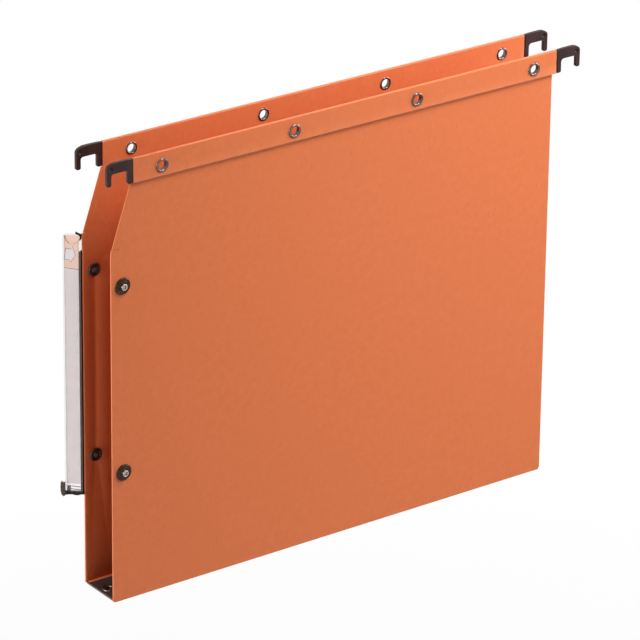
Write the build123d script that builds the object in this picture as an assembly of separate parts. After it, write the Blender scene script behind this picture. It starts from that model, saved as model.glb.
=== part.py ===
"""Hanging file folder for a lateral cabinet: two card sides joined by a flat-bottomed gusset.

Each side hangs from a flat steel bar in a folded hem, with a plastic hook on each bar end.
X runs from the labelled front edge (-X) to the rear edge (+X), Y from the near side (-Y) to the
far side (+Y), and Z up. The origin is midway between the four hook slots, level with their roofs,
which is where the two cabinet rails carry the folder.
"""
import os
from math import cos, radians, sin

from build123d import *

# Folder
rail_spacing = 330.0
pocket_width = 30.0
folder_height = 284.0
card_thickness = 0.5
panel_front_overhang = 14.5
panel_rear_inset = 2.0
panel_shoulder_overhang = 1.2
corner_drop = 55.0
bottom_corner = 2.0
crease_clearance = 0.1
cut_overrun = 2.0

# Hem and the steel bar in it
hem_height = 15.4
hem_shoulder_drop = 0.4
bar_thickness = 0.8
bar_clearance = 0.05
bar_foot_gap = 0.8
tang_height = 3.4
tang_length = 10.5
tang_clearance = 0.03

# Hooks on the bar ends
hook_thickness = 2.2
hook_bridge_height = 6.8
hook_crown = 0.4
hook_neck_length = 1.0
hook_neck_step = 0.25
hook_slot_width = 11.3
hook_inner_leg = 3.85
hook_prong_width = 3.2
hook_prong_rise = 1.1
hook_shoulder_radius = 4.0
hook_tip_radius = 1.1
hook_slot_outer_radius = 1.6
hook_slot_inner_radius = 2.0
hook_edge_radius = 0.3
hook_dimple_radius = 1.1
hook_dimple_depth = 0.7
hook_dimple_inset = 3.0
hook_dimple_drop = 3.7

# Eyelets through the hems, placed by shares of the hem's half length
eyelet_place_shares = (-0.871, -0.264, 0.316, 0.889)
eyelet_drop = 8.9
eyelet_bore_radius = 2.75
eyelet_wall = 0.35
eyelet_flange_radius = 4.6
eyelet_flange_height = 0.8
eyelet_lip_height = 0.45
eyelet_clearance = 0.05

# Strip that doubles the card inside each front edge
strip_width = 22.0
strip_thickness = 0.7
strip_edge_inset = 0.4
strip_end_inset = 6.0

# Press studs near the front edges
stud_edge_inset = 7.4
stud_end_inset = 24.0
stud_flange_radius = 5.3
stud_flange_height = 0.5
stud_rim_width = 1.1
stud_rim_height = 0.3
stud_nub_radius = 2.1
stud_nub_height = 2.2
stud_nub_round = 0.35
stud_recess_radius = 1.2
stud_recess_depth = 1.5
post_radius = 4.25
post_height = 0.8
post_rim_width = 0.9
post_rim_height = 0.3
post_dimple_radius = 1.3
post_dimple_depth = 0.5
post_shank_radius = 1.3
post_shank_reach = 0.5
post_clearance = 0.03
socket_barrel_radius = 3.7
socket_barrel_height = 2.4
socket_bore_radius = 2.25
socket_bore_depth = 1.9
spring_wire_radius = 0.28
spring_groove_clearance = 0.04
spring_opening_degrees = 40.0

# Gusset and its stiffener plate
gusset_end_inset = 1.0
stiffener_thickness = 1.2
stiffener_side_gap = 0.7
stiffener_end_inset = 0.2
rivet_end_inset = 6.5
rivet_bore_radius = 2.2
rivet_wall = 0.4
rivet_flange_radius = 4.4
rivet_flange_height = 0.7
rivet_lip_height = 0.4
rivet_clearance = 0.05

# Label holder on the far side's front edge: a dark rail with a clear sleeve
label_angle_degrees = 38.0
label_length = 168.0
holder_width = 11.4
holder_plate = 0.8
holder_leaf_width = 15.0
holder_ridge_width = 1.0
holder_ridge_height = 1.8
holder_cap = 1.2
holder_stop_height = 5.0
holder_stop_width = 1.4
holder_stop_inset = 1.2
holder_ear_width = 2.8
holder_ear_depth = 2.4
holder_ear_height = 9.0
holder_ear_drop = 1.6
holder_lug_length = 5.4
holder_lug_height = 1.1
window_wall = 0.6
window_corner_radius = 1.8
window_clearance = 0.05
window_top_inset = 0.4
thumb_notch_radius = 3.9
thumb_notch_drop = 1.6
label_thickness = 0.25
label_clearance = 0.2
label_top_inset = 0.5

# Places worked out from the sizes above
slot_inner_x = rail_spacing / 2 - hook_slot_width / 2
slot_outer_x = slot_inner_x + hook_slot_width
hook_tip_x = slot_outer_x + hook_prong_width
hem_half_length = slot_inner_x - hook_inner_leg
panel_front_x = -hem_half_length - panel_front_overhang
panel_rear_x = hem_half_length - panel_rear_inset
hem_top_z = hook_bridge_height
hem_bottom_z = hem_top_z - hem_height
base_z = hem_top_z - folder_height
crease_z = base_z + card_thickness / 2
shoulder_z = hem_bottom_z - hem_shoulder_drop
knee_z = hem_top_z - corner_drop
inner_face_y = pocket_width / 2
outer_face_y = inner_face_y + card_thickness
crease_y = inner_face_y + card_thickness / 2
hem_gap = bar_thickness + 2 * bar_clearance
bar_y = outer_face_y + hem_gap / 2
leaf_inner_y = outer_face_y + hem_gap
leaf_outer_y = leaf_inner_y + card_thickness
fold_radius = hem_gap / 2 + card_thickness
fold_z = hem_top_z - fold_radius
tang_z = hook_bridge_height / 2
eyelet_places_x = [share * hem_half_length for share in eyelet_place_shares]
eyelet_z = hem_top_z - eyelet_drop
eyelet_hole_radius = eyelet_bore_radius + eyelet_wall + eyelet_clearance
strip_face_y = inner_face_y - strip_thickness
label_top_z = knee_z
label_bottom_z = label_top_z - label_length
stud_x = panel_front_x + stud_edge_inset
stud_places_z = {"lower": label_bottom_z + stud_end_inset, "upper": label_top_z - stud_end_inset}
post_hole_radius = post_shank_radius + post_clearance
socket_seat_y = outer_face_y + holder_plate
window_left = holder_ridge_width + window_clearance
channel_left = window_left + window_wall
channel_right = holder_width - window_wall
label_front_gap = 2 * label_clearance + label_thickness
gusset_half_width = inner_face_y - crease_clearance
stiffener_half_width = inner_face_y - stiffener_side_gap
stiffener_z = base_z + card_thickness
stiffener_top_z = stiffener_z + stiffener_thickness

# The holder's own plane: x along the label's width, y out of its face, z up
label_turn = radians(label_angle_degrees)
holder_plane = Plane(
    origin=(panel_front_x, outer_face_y, 0),
    x_dir=(-cos(label_turn), sin(label_turn), 0),
    z_dir=(0, 0, 1),
)


def block(x_span, y_span, z_span):
    """A box between two values on each axis."""
    size = [high - low for low, high in (x_span, y_span, z_span)]
    low_corner = Vector(x_span[0], y_span[0], z_span[0])
    return Pos(low_corner) * Box(*size, align=(Align.MIN, Align.MIN, Align.MIN))


def rod_along_y(radius, x, z, y_span):
    """A cylinder along Y between two values."""
    low, high = y_span
    centre = Pos(x, (low + high) / 2, z)
    return centre * Rot(X=90) * Cylinder(radius, high - low)


def turned_along_y(edges, x, z):
    """A solid of revolution about the Y line through x and z, from edges drawn as radius and y."""
    return Pos(x, 0, z) * revolve(make_face(Curve() + edges), Axis.Y)


def near_of(shape):
    """The near side's copy of a piece made for the far side."""
    return mirror(shape, about=Plane.XZ)


def hem_section():
    """The card's section across the side: panel, fold over the bar and outer leaf."""
    crown = (bar_y, hem_top_z)
    inner_crown = (bar_y, hem_top_z - card_thickness)
    edges = Curve() + [
        Line((inner_face_y, crease_z), (inner_face_y, fold_z)),
        ThreePointArc((inner_face_y, fold_z), crown, (leaf_outer_y, fold_z)),
        Line((leaf_outer_y, fold_z), (leaf_outer_y, hem_bottom_z)),
        Line((leaf_outer_y, hem_bottom_z), (leaf_inner_y, hem_bottom_z)),
        Line((leaf_inner_y, hem_bottom_z), (leaf_inner_y, fold_z)),
        ThreePointArc((leaf_inner_y, fold_z), inner_crown, (outer_face_y, fold_z)),
        Line((outer_face_y, fold_z), (outer_face_y, crease_z)),
        ThreePointArc((outer_face_y, crease_z), (crease_y, base_z), (inner_face_y, crease_z)),
    ]
    return Plane.YZ * make_face(edges)


def panel_outline():
    """The side's outline, with the front top corner cut away on a slant."""
    points = [
        (panel_front_x, base_z + bottom_corner),
        (panel_front_x + bottom_corner, base_z),
        (panel_front_x + bottom_corner, base_z - cut_overrun),
        (panel_rear_x - bottom_corner, base_z - cut_overrun),
        (panel_rear_x - bottom_corner, base_z),
        (panel_rear_x, base_z + bottom_corner),
        (panel_rear_x, shoulder_z),
        (hem_half_length, shoulder_z),
        (hem_half_length, hem_top_z + cut_overrun),
        (-hem_half_length, hem_top_z + cut_overrun),
        (-hem_half_length, shoulder_z),
        (-hem_half_length - panel_shoulder_overhang, shoulder_z),
        (panel_front_x, knee_z),
    ]
    return Plane.XZ * make_face(Polyline(points, close=True))


def panel_card():
    """One side of kraft card with its hem, its eyelet holes and its press stud holes."""
    sheet = Pos(panel_front_x, 0, 0) * extrude(hem_section(), hem_half_length - panel_front_x, dir=(1, 0, 0))
    sheet &= extrude(panel_outline(), leaf_outer_y + cut_overrun, dir=(0, 1, 0))
    across = (inner_face_y - cut_overrun, leaf_outer_y + cut_overrun)
    for x in eyelet_places_x:
        sheet -= rod_along_y(eyelet_hole_radius, x, eyelet_z, across)
    for z in stud_places_z.values():
        sheet -= rod_along_y(post_hole_radius, stud_x, z, across)
    return sheet


def edge_strip():
    """The second layer of card glued inside the front edge, which the press studs go through."""
    strip = block(
        (panel_front_x + strip_edge_inset, panel_front_x + strip_width),
        (strip_face_y, inner_face_y),
        (base_z + strip_end_inset, knee_z - strip_edge_inset),
    )
    for z in stud_places_z.values():
        strip -= rod_along_y(post_hole_radius, stud_x, z, (strip_face_y - cut_overrun, outer_face_y))
    return strip


def suspension_bar():
    """The flat steel bar in the hem, with a narrow tang at each end for the hooks."""
    across = (bar_y - bar_thickness / 2, bar_y + bar_thickness / 2)
    bar = block((-hem_half_length, hem_half_length), across, (hem_bottom_z + bar_foot_gap, fold_z))
    tang_half_length = hem_half_length + tang_length
    tang_span = (tang_z - tang_height / 2, tang_z + tang_height / 2)
    bar += block((-tang_half_length, tang_half_length), across, tang_span)
    for x in eyelet_places_x:
        bar -= rod_along_y(eyelet_hole_radius, x, eyelet_z, (outer_face_y, leaf_inner_y))
    return bar


def hook_outline():
    """The rear hook's outline: arched bridge, inner leg at the bar and outer prong past the rail."""
    leg_z = hem_bottom_z
    prong_z = leg_z + hook_prong_rise
    top_z = hook_bridge_height - hook_crown
    corners = {
        "root_foot": (hem_half_length, leg_z),
        "root_top": (hem_half_length, top_z),
        "shoulder": (hook_tip_x, top_z),
        "prong_outer": (hook_tip_x, prong_z),
        "prong_inner": (slot_outer_x, prong_z),
        "roof_outer": (slot_outer_x, 0),
        "roof_inner": (slot_inner_x, 0),
        "leg_foot": (slot_inner_x, leg_z),
    }
    names = list(corners)
    edges = Curve()
    for name, following in zip(names, names[1:] + names[:1]):
        if name == "root_top":
            crown = ((hem_half_length + hook_tip_x) / 2, hook_bridge_height)
            edges += ThreePointArc(corners[name], crown, corners[following])
        else:
            edges += Line(corners[name], corners[following])
    face = make_face(edges)
    radii = {
        "shoulder": hook_shoulder_radius,
        "prong_outer": hook_tip_radius,
        "prong_inner": hook_tip_radius,
        "leg_foot": hook_tip_radius,
        "roof_outer": hook_slot_outer_radius,
        "roof_inner": hook_slot_inner_radius,
    }
    for name, radius in radii.items():
        corner = Vector(*corners[name])
        vertex = face.vertices().sort_by(lambda v: (v.center() - corner).length)[0]
        face = fillet(vertex, radius)
    return face


def rear_hook():
    """The plastic hook on the rear bar end: a thin neck at the hem, a pocket for the tang, two dimples."""
    low_y = bar_y - hook_thickness / 2
    high_y = bar_y + hook_thickness / 2
    hook = extrude(Plane.XZ * hook_outline(), hook_thickness, dir=(0, 1, 0))
    hook = Pos(0, low_y, 0) * hook
    rims = hook.faces().filter_by(Axis.Y).edges()
    hook = fillet(rims, hook_edge_radius)
    pocket_half_height = tang_height / 2 + tang_clearance
    pocket_half_width = bar_thickness / 2 + tang_clearance
    hook -= block(
        (hem_half_length - cut_overrun, hem_half_length + tang_length + tang_clearance),
        (bar_y - pocket_half_width, bar_y + pocket_half_width),
        (tang_z - pocket_half_height, tang_z + pocket_half_height),
    )
    dimple_x = hook_tip_x - hook_dimple_inset
    dimple_z = hook_bridge_height - hook_dimple_drop
    neck_span = (hem_half_length - cut_overrun, hem_half_length + hook_neck_length)
    height_span = (hem_bottom_z - cut_overrun, hook_bridge_height + cut_overrun)
    for face_y, inward in ((low_y, 1), (high_y, -1)):
        outside_y = face_y - inward * cut_overrun
        dimple_ends = sorted((outside_y, face_y + inward * hook_dimple_depth))
        hook -= rod_along_y(hook_dimple_radius, dimple_x, dimple_z, dimple_ends)
        neck_ends = sorted((outside_y, face_y + inward * hook_neck_step))
        hook -= block(neck_span, neck_ends, height_span)
    return hook


def rolled_ring(bore, wall, flange, height, lip, seat_y, far_y):
    """Edges of a flanged tube: a rolled flange on the seat at the high y, a rolled lip at the low y."""
    tube = bore + wall
    crest = (bore + flange) / 2
    return [
        Line((bore, far_y - lip / 2), (bore, seat_y + height / 2)),
        ThreePointArc((bore, seat_y + height / 2), (crest, seat_y + height), (flange, seat_y)),
        Line((flange, seat_y), (tube, seat_y)),
        Line((tube, seat_y), (tube, far_y)),
        Line((tube, far_y), (flange, far_y)),
        ThreePointArc((flange, far_y), (crest, far_y - lip), (bore, far_y - lip / 2)),
    ]


def eyelet(x):
    """A hem eyelet: flange on the outer leaf, rolled lip on the inside of the side."""
    edges = rolled_ring(
        eyelet_bore_radius, eyelet_wall, eyelet_flange_radius,
        eyelet_flange_height, eyelet_lip_height, leaf_outer_y, inner_face_y,
    )
    return turned_along_y(edges, x, eyelet_z)


def flanged_disc(seat_y):
    """Points of a press stud's flange with its raised rim, from the underside out to the rim's inside."""
    rim_in = stud_flange_radius - stud_rim_width
    face_y = seat_y + stud_flange_height
    return [
        (0, seat_y + post_shank_reach),
        (post_hole_radius, seat_y + post_shank_reach),
        (post_hole_radius, seat_y),
        (stud_flange_radius, seat_y),
        (stud_flange_radius, face_y),
        (rim_in + stud_rim_width / 2, face_y + stud_rim_height),
        (rim_in, face_y),
    ]


def stud_nub(z):
    """The male press stud on the outside of a side, with its hollow nub."""
    top_y = outer_face_y + stud_flange_height + stud_nub_height
    floor_y = top_y - stud_recess_depth
    points = flanged_disc(outer_face_y) + [
        (stud_nub_radius, outer_face_y + stud_flange_height),
        (stud_nub_radius, top_y - stud_nub_round),
        (stud_nub_radius - stud_nub_round, top_y),
        (stud_recess_radius, top_y),
        (stud_recess_radius, floor_y),
        (0, floor_y),
    ]
    return turned_along_y([Polyline(points, close=True)], stud_x, z)


def spring_ring_radius():
    """The mid radius of the snap spring, which lies just outside the socket's bore."""
    return socket_bore_radius + spring_groove_clearance + spring_wire_radius


def stud_socket(z):
    """The female press stud on the label holder's leaf, with a groove for its snap spring."""
    face_y = socket_seat_y + stud_flange_height
    top_y = face_y + socket_barrel_height
    floor_y = top_y - socket_bore_depth
    groove_half = spring_wire_radius + spring_groove_clearance
    groove_y = (floor_y + top_y) / 2
    groove_radius = spring_ring_radius() + groove_half
    points = flanged_disc(socket_seat_y) + [
        (socket_barrel_radius, face_y),
        (socket_barrel_radius, top_y - stud_nub_round),
        (socket_barrel_radius - stud_nub_round, top_y),
        (socket_bore_radius, top_y),
        (socket_bore_radius, groove_y + groove_half),
        (groove_radius, groove_y + groove_half),
        (groove_radius, groove_y - groove_half),
        (socket_bore_radius, groove_y - groove_half),
        (socket_bore_radius, floor_y),
        (0, floor_y),
    ]
    return turned_along_y([Polyline(points, close=True)], stud_x, z)


def socket_spring(z):
    """The split wire ring that grips the neighbouring folder's stud."""
    top_y = socket_seat_y + stud_flange_height + socket_barrel_height
    groove_y = top_y - socket_bore_depth / 2
    wire = Pos(spring_ring_radius(), groove_y, 0) * Circle(spring_wire_radius)
    ring = revolve(Plane.XY * wire, Axis.Y, 360 - spring_opening_degrees)
    return Pos(stud_x, 0, z) * ring


def post(z, outer_seat_y):
    """The inside half of a press stud: a rimmed cap on the strip and a shank through to the outer half."""
    cap_y = strip_face_y - post_height
    rim_in = post_radius - post_rim_width
    shank_end_y = outer_seat_y + post_shank_reach - post_clearance
    points = [
        (0, cap_y + post_dimple_depth),
        (post_dimple_radius, cap_y + post_dimple_depth),
        (post_dimple_radius, cap_y),
        (rim_in, cap_y),
        (rim_in + post_rim_width / 2, cap_y - post_rim_height),
        (post_radius, cap_y),
        (post_radius, strip_face_y),
        (post_shank_radius, strip_face_y),
        (post_shank_radius, shank_end_y),
        (0, shank_end_y),
    ]
    return turned_along_y([Polyline(points, close=True)], stud_x, z)


def rivet_places_x():
    """The rivets' places, one near each end of the gusset."""
    return {"front": panel_front_x + rivet_end_inset, "rear": panel_rear_x - rivet_end_inset}


def drill_for_rivets(plate, z_span):
    """The plate with a hole at each rivet."""
    hole_radius = rivet_bore_radius + rivet_wall + rivet_clearance
    low, high = z_span
    for x in rivet_places_x().values():
        plate -= Pos(x, 0, (low + high) / 2) * Cylinder(hole_radius, high - low + 2 * cut_overrun)
    return plate


def gusset_card():
    """The flat bottom of kraft card between the two creases."""
    z_span = (base_z, base_z + card_thickness)
    plate = block(
        (panel_front_x + gusset_end_inset, panel_rear_x - gusset_end_inset),
        (-gusset_half_width, gusset_half_width),
        z_span,
    )
    return drill_for_rivets(plate, z_span)


def bottom_stiffener():
    """The dark board that lies on the gusset and keeps it flat."""
    z_span = (stiffener_z, stiffener_top_z)
    plate = block(
        (panel_front_x + stiffener_end_inset, panel_rear_x - stiffener_end_inset),
        (-stiffener_half_width, stiffener_half_width),
        z_span,
    )
    return drill_for_rivets(plate, z_span)


def base_rivet(x):
    """A tubular rivet that holds the stiffener to the gusset, flange up."""
    edges = rolled_ring(
        rivet_bore_radius, rivet_wall, rivet_flange_radius,
        rivet_flange_height, rivet_lip_height, stiffener_top_z, base_z,
    )
    ring = revolve(make_face(Curve() + edges), Axis.Y)
    return Pos(x, 0, 0) * Rot(X=90) * ring


def holder_block(u_span, v_span, z_span):
    """A box in the label holder's own plane."""
    return holder_plane * block(u_span, v_span, z_span)


def label_base():
    """The dark rail: a leaf on the far side's outer face, a ridge for the sleeve, an eared cap and a stop."""
    z_span = (label_bottom_z, label_top_z)
    leaf = block(
        (panel_front_x, panel_front_x + holder_leaf_width),
        (outer_face_y, outer_face_y + holder_plate),
        z_span,
    )
    for z in stud_places_z.values():
        leaf -= rod_along_y(post_hole_radius, stud_x, z, (outer_face_y - cut_overrun, socket_seat_y + cut_overrun))
    knuckle = Pos(panel_front_x, outer_face_y, (label_bottom_z + label_top_z) / 2)
    knuckle *= Cylinder(holder_plate, label_length)
    knuckle -= block(
        (panel_front_x, panel_front_x + 2 * holder_plate),
        (outer_face_y - 2 * holder_plate, outer_face_y),
        (label_bottom_z - cut_overrun, label_top_z + cut_overrun),
    )
    cap_span = (label_bottom_z, label_bottom_z + holder_cap)
    ear_left = holder_width + window_clearance
    ear_span = (label_bottom_z - holder_ear_drop, label_bottom_z - holder_ear_drop + holder_ear_height)
    holder = leaf + knuckle
    holder += holder_block((0, holder_ridge_width), (-holder_plate, holder_ridge_height), z_span)
    holder += holder_block((0, holder_width + holder_ear_width), (-holder_plate, holder_ear_depth), cap_span)
    holder += holder_block(
        (ear_left, holder_width + holder_ear_width), (-holder_plate, holder_ear_depth), ear_span
    )
    stop_depth = (window_clearance, label_front_gap - label_clearance)
    stop_span = (label_bottom_z, label_bottom_z + holder_cap + holder_stop_height)
    for stop_left in (
        channel_left + holder_stop_inset,
        channel_right - holder_stop_inset - holder_stop_width,
    ):
        holder += holder_block((stop_left, stop_left + holder_stop_width), stop_depth, stop_span)
    holder += holder_block(
        (0, holder_lug_length), (-holder_plate, 0), (label_top_z, label_top_z + holder_lug_height)
    )
    return holder


def label_window():
    """The clear sleeve round the label, with a thumb notch in its front wall."""
    z_span = (label_bottom_z + holder_cap, label_top_z - window_top_inset)
    outer_v = label_front_gap + window_wall
    sleeve = block((window_left, holder_width), (-window_wall, outer_v), z_span)
    top_corners = sleeve.edges().filter_by(Axis.Y).sort_by(Axis.Z)[-2:]
    sleeve = fillet(top_corners, window_corner_radius)
    below_z = z_span[0] - cut_overrun
    above_z = z_span[1] + cut_overrun
    sleeve -= block((channel_left, channel_right), (0, label_front_gap), (below_z, above_z))
    middle = (window_left + holder_width) / 2
    notch_z = z_span[1] - thumb_notch_drop
    notch_span = (label_front_gap - label_clearance, outer_v + cut_overrun)
    sleeve -= rod_along_y(thumb_notch_radius, middle, notch_z, notch_span)
    sleeve -= block(
        (middle - thumb_notch_radius, middle + thumb_notch_radius), notch_span, (notch_z, above_z)
    )
    return holder_plane * sleeve


def index_label():
    """The paper label, which slides up out of the holder."""
    return holder_block(
        (channel_left + label_clearance, channel_right - label_clearance),
        (label_clearance, label_clearance + label_thickness),
        (label_bottom_z + holder_cap + holder_stop_height, label_top_z - window_top_inset - label_top_inset),
    )


def side_pieces(side):
    """The pieces that both sides have, made for the far side and mirrored for the near one."""
    rear = rear_hook()
    pieces = {
        "panel_card": panel_card(),
        "edge_strip": edge_strip(),
        "suspension_bar": suspension_bar(),
        "rear_hook": rear,
        "front_hook": mirror(rear, about=Plane.YZ),
    }
    for number, x in enumerate(eyelet_places_x, start=1):
        pieces[f"eyelet_{number}"] = eyelet(x)
    outer_seat_y = outer_face_y if side == "near" else socket_seat_y
    for level, z in stud_places_z.items():
        pieces[f"post_{level}"] = post(z, outer_seat_y)
        if side == "near":
            pieces[f"stud_{level}"] = stud_nub(z)
        else:
            pieces[f"socket_{level}"] = stud_socket(z)
            pieces[f"socket_spring_{level}"] = socket_spring(z)
    if side == "near":
        pieces = {name: near_of(shape) for name, shape in pieces.items()}
    return {f"{side}_{name}": shape for name, shape in pieces.items()}


def folder_pieces():
    """Every piece of the folder by name."""
    pieces = {**side_pieces("near"), **side_pieces("far")}
    pieces["gusset_card"] = gusset_card()
    pieces["bottom_stiffener"] = bottom_stiffener()
    for end, x in rivet_places_x().items():
        pieces[f"base_rivet_{end}"] = base_rivet(x)
    pieces["label_base"] = label_base()
    pieces["label_window"] = label_window()
    pieces["index_label"] = index_label()
    return pieces


if __name__ == "__main__":
    os.makedirs("parts", exist_ok=True)
    for name, shape in folder_pieces().items():
        export_step(shape, f"parts/{name}.step")
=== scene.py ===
"""Hanging file folder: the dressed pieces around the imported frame."""
from math import atan2, cos, pi, radians, sin

import bmesh
import bpy
from bpy.props import FloatProperty, FloatVectorProperty, PointerProperty
from bpy.types import NodeSocket, Operator, Panel, PropertyGroup
from mathutils import Matrix, Vector


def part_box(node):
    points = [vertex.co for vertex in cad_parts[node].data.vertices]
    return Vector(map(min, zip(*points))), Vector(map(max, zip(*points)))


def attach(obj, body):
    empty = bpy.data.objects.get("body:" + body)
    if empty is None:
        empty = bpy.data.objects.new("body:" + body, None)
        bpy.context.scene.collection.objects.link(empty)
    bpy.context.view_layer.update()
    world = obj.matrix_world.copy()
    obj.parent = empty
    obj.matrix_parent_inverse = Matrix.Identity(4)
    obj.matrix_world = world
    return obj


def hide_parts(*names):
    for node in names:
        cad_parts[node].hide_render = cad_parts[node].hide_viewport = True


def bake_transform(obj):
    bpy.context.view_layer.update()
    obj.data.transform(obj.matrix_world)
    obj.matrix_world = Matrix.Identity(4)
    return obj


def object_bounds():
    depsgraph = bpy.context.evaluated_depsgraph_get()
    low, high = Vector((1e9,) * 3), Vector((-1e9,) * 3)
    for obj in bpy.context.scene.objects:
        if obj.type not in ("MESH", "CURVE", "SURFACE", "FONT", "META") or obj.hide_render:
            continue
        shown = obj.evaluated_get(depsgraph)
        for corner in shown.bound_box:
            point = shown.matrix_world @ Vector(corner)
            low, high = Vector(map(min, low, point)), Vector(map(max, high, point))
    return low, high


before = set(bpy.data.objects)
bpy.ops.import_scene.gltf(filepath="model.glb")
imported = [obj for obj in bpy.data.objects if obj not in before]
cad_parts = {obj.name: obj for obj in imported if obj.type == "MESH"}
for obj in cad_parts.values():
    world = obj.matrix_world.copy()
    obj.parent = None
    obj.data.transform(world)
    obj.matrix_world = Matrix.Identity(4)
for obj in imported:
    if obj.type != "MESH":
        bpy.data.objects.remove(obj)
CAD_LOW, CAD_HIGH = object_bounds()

bl_info = {
    "name": "Hanging file folder",
    "version": (1, 0, 0),
    "blender": (4, 5, 0),
    "location": "View3D > Sidebar > Folder",
    "description": "Dresses the frame of a hanging file folder with card, plastic, metal and paper",
    "category": "Add Mesh",
}


# Places read from the frame
def centre_of(node):
    """The middle of a node's box."""
    low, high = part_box(node)
    return (low + high) / 2


CARD_LOW, CARD_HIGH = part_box("far_panel_card")
STRIP_LOW, STRIP_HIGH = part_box("far_edge_strip")
HOOK_LOW, HOOK_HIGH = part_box("far_rear_hook")
PLATE_LOW, PLATE_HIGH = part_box("bottom_stiffener")
GUSSET_LOW, GUSSET_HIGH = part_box("gusset_card")
SLEEVE_LOW, SLEEVE_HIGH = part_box("label_window")
LABEL_LOW, LABEL_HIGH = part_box("index_label")
RAIL_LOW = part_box("label_base")[0]
FRONT_X = CARD_LOW.x
HEM_END_X = CARD_HIGH.x
BASE_Z = CARD_LOW.z
HEM_TOP_Z = CARD_HIGH.z
INNER_Y = CARD_LOW.y
LEAF_Y = CARD_HIGH.y
BAR_Y = centre_of("far_suspension_bar").y
STUD_X = centre_of("near_stud_lower").x
EYELETS = ("eyelet_1", "eyelet_2", "eyelet_3", "eyelet_4")
LEVELS = ("lower", "upper")
ENDS = ("front", "rear")

# Settings of the modelling steps
MERGE_GAP = 1e-6
PICK_GAP = 2e-6
CUT_OVERRUN = 0.002
ROUND_STEPS = 7
SPIN_STEPS = 56
SMOOTH_DEGREES = 38.0
STUD_SMOOTH_DEGREES = 55.0
SHARP_DEGREES = 50.0
HOOK_SHARP_DEGREES = 60.0
FINE_ROUND = 0.00008
PART_ROUND = 0.00016
PLATE_ROUND = 0.00042
BOW_CUT_SHARES = (0.06, 0.2, 0.35, 0.5, 0.65, 0.8, 0.94)
HEM_STEPS = 12

# A face of the sleeve counts as clear where this cosine or more turns it to the holder's face
SLEEVE_FACING = 0.6

# Patterns of the finishes, in cells to the metre
CARD_CLOUDS = 14.0
CARD_MOTTLE = 190.0
CARD_FLECKS = 760.0
CARD_TOOTH = 1500.0
PLASTIC_FLOW = 90.0
PLASTIC_SPARK = 2600.0
PLATING_PATCHES = 420.0
PLATING_SCRATCHES = 3200.0
ENAMEL_DUST = 320.0
ENAMEL_SKIN = 1100.0
STEEL_MARKS = 2400.0
BOARD_MOTTLE = 180.0
BOARD_FIBRE = 1600.0
FILM_MARKS = 900.0
PAPER_MOTTLE = 260.0
PAPER_FIBRE = 1700.0

# Ranges of a pattern that are spread over two tones, or over a dull and a glossy finish
TONE_RANGE = (0.3, 0.7)
GLOSS_RANGE = (0.2, 0.8)

# Share of the flecks in the card's relief; the tooth has the rest
FLECK_SHARE = 0.6

# Depths of the fine grain on the finishes
CARD_GRAIN = 0.0001
BOARD_GRAIN = 0.00008
PLASTIC_GRAIN = 0.00006
STEEL_GRAIN = 0.00005
PAPER_GRAIN = 0.00005
PLATING_GRAIN = 0.00004
ENAMEL_GRAIN = 0.00004
FILM_GRAIN = 0.00004
INK_GRAIN = 0.00004

# Strength of the wear on the card's edges and hem fold, of the painted highlight on the bottom fold's
# bead, and of the painted glint on the press studs' tips and caps' domes
EDGE_WEAR = 0.3
CROWN_WEAR = 0.22
BEAD_HIGHLIGHT = 0.8
STUD_GLINT = 0.5

# Outlines as shares of the piece's size: along or across first, then up or down
CROWN_SHARES = ((0.14, 0.5), (0.28, 0.18), (0.42, 0.04), (0.54, 0.0))
EAR_SHARES = (
    (0.0, 0.96), (0.45, 0.9), (0.85, 1.0), (1.0, 0.93), (1.0, 0.42),
    (0.83, 0.16), (0.42, 0.0), (0.1, 0.06), (0.0, 0.1),
)
CAP_EDGE_SHARES = (
    (1.0, 0.3), (0.82, 0.1), (0.62, 0.06), (0.48, 0.34), (0.34, 0.4), (0.18, 0.06), (0.0, 0.0),
)
ARROW_SHARES = (
    (-0.5, 0.31), (0.06, 0.31), (0.06, 0.5), (0.5, 0.0), (0.06, -0.5), (0.06, -0.31), (-0.5, -0.31),
)
ARROW_FACE_SHARE = 0.9
# Share of a press stud's radius round its tip that gets the painted glint
STUD_GLINT_SHARE = 0.6
FLANGE_SHARE = 0.95
LIP_SHARE = 0.8
TOOTH_SHARES = ((0.0, 0.1), (0.75, 0.1), (1.0, 0.75), (0.75, 1.0), (0.3, 0.6), (0.0, 0.5))
STOP_BAR_SHARES = (0.12, 0.5)
BLOCK_SHARE = 0.75

# Profiles of the press studs, as shares of the flange's radius and of the whole height
STUD_SHARES = (
    (0.25, 0.0), (0.97, 0.0), (1.0, 0.04), (0.99, 0.13), (0.95, 0.21), (0.89, 0.28), (0.83, 0.26),
    (0.79, 0.19), (0.73, 0.17), (0.66, 0.19), (0.62, 0.27), (0.575, 0.3), (0.53, 0.26), (0.5, 0.2),
    (0.44, 0.2), (0.405, 0.27), (0.39, 0.5), (0.4, 0.72), (0.395, 0.86), (0.36, 0.96), (0.31, 1.0),
    (0.265, 0.98), (0.235, 0.9), (0.225, 0.5), (0.16, 0.42), (0.0, 0.42),
)
SOCKET_SHARES = (
    (0.25, 0.0), (0.97, 0.0), (1.0, 0.04), (0.99, 0.12), (0.94, 0.19), (0.87, 0.24), (0.8, 0.2),
    (0.76, 0.17), (0.71, 0.2), (0.695, 0.34), (0.695, 0.8), (0.67, 0.93), (0.62, 0.99), (0.54, 1.0),
    (0.46, 0.98), (0.43, 0.93), (0.424, 0.78), (0.424, 0.45), (0.36, 0.36), (0.0, 0.36),
)
CAP_SHARES = (
    (0.31, 0.0), (0.97, 0.0), (1.0, 0.14), (0.985, 0.4), (0.94, 0.68), (0.87, 0.88), (0.8, 0.94),
    (0.73, 0.86), (0.66, 0.6), (0.58, 0.46), (0.5, 0.44), (0.44, 0.52), (0.38, 0.7), (0.3, 0.88),
    (0.18, 0.97), (0.0, 1.0),
)

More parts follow.
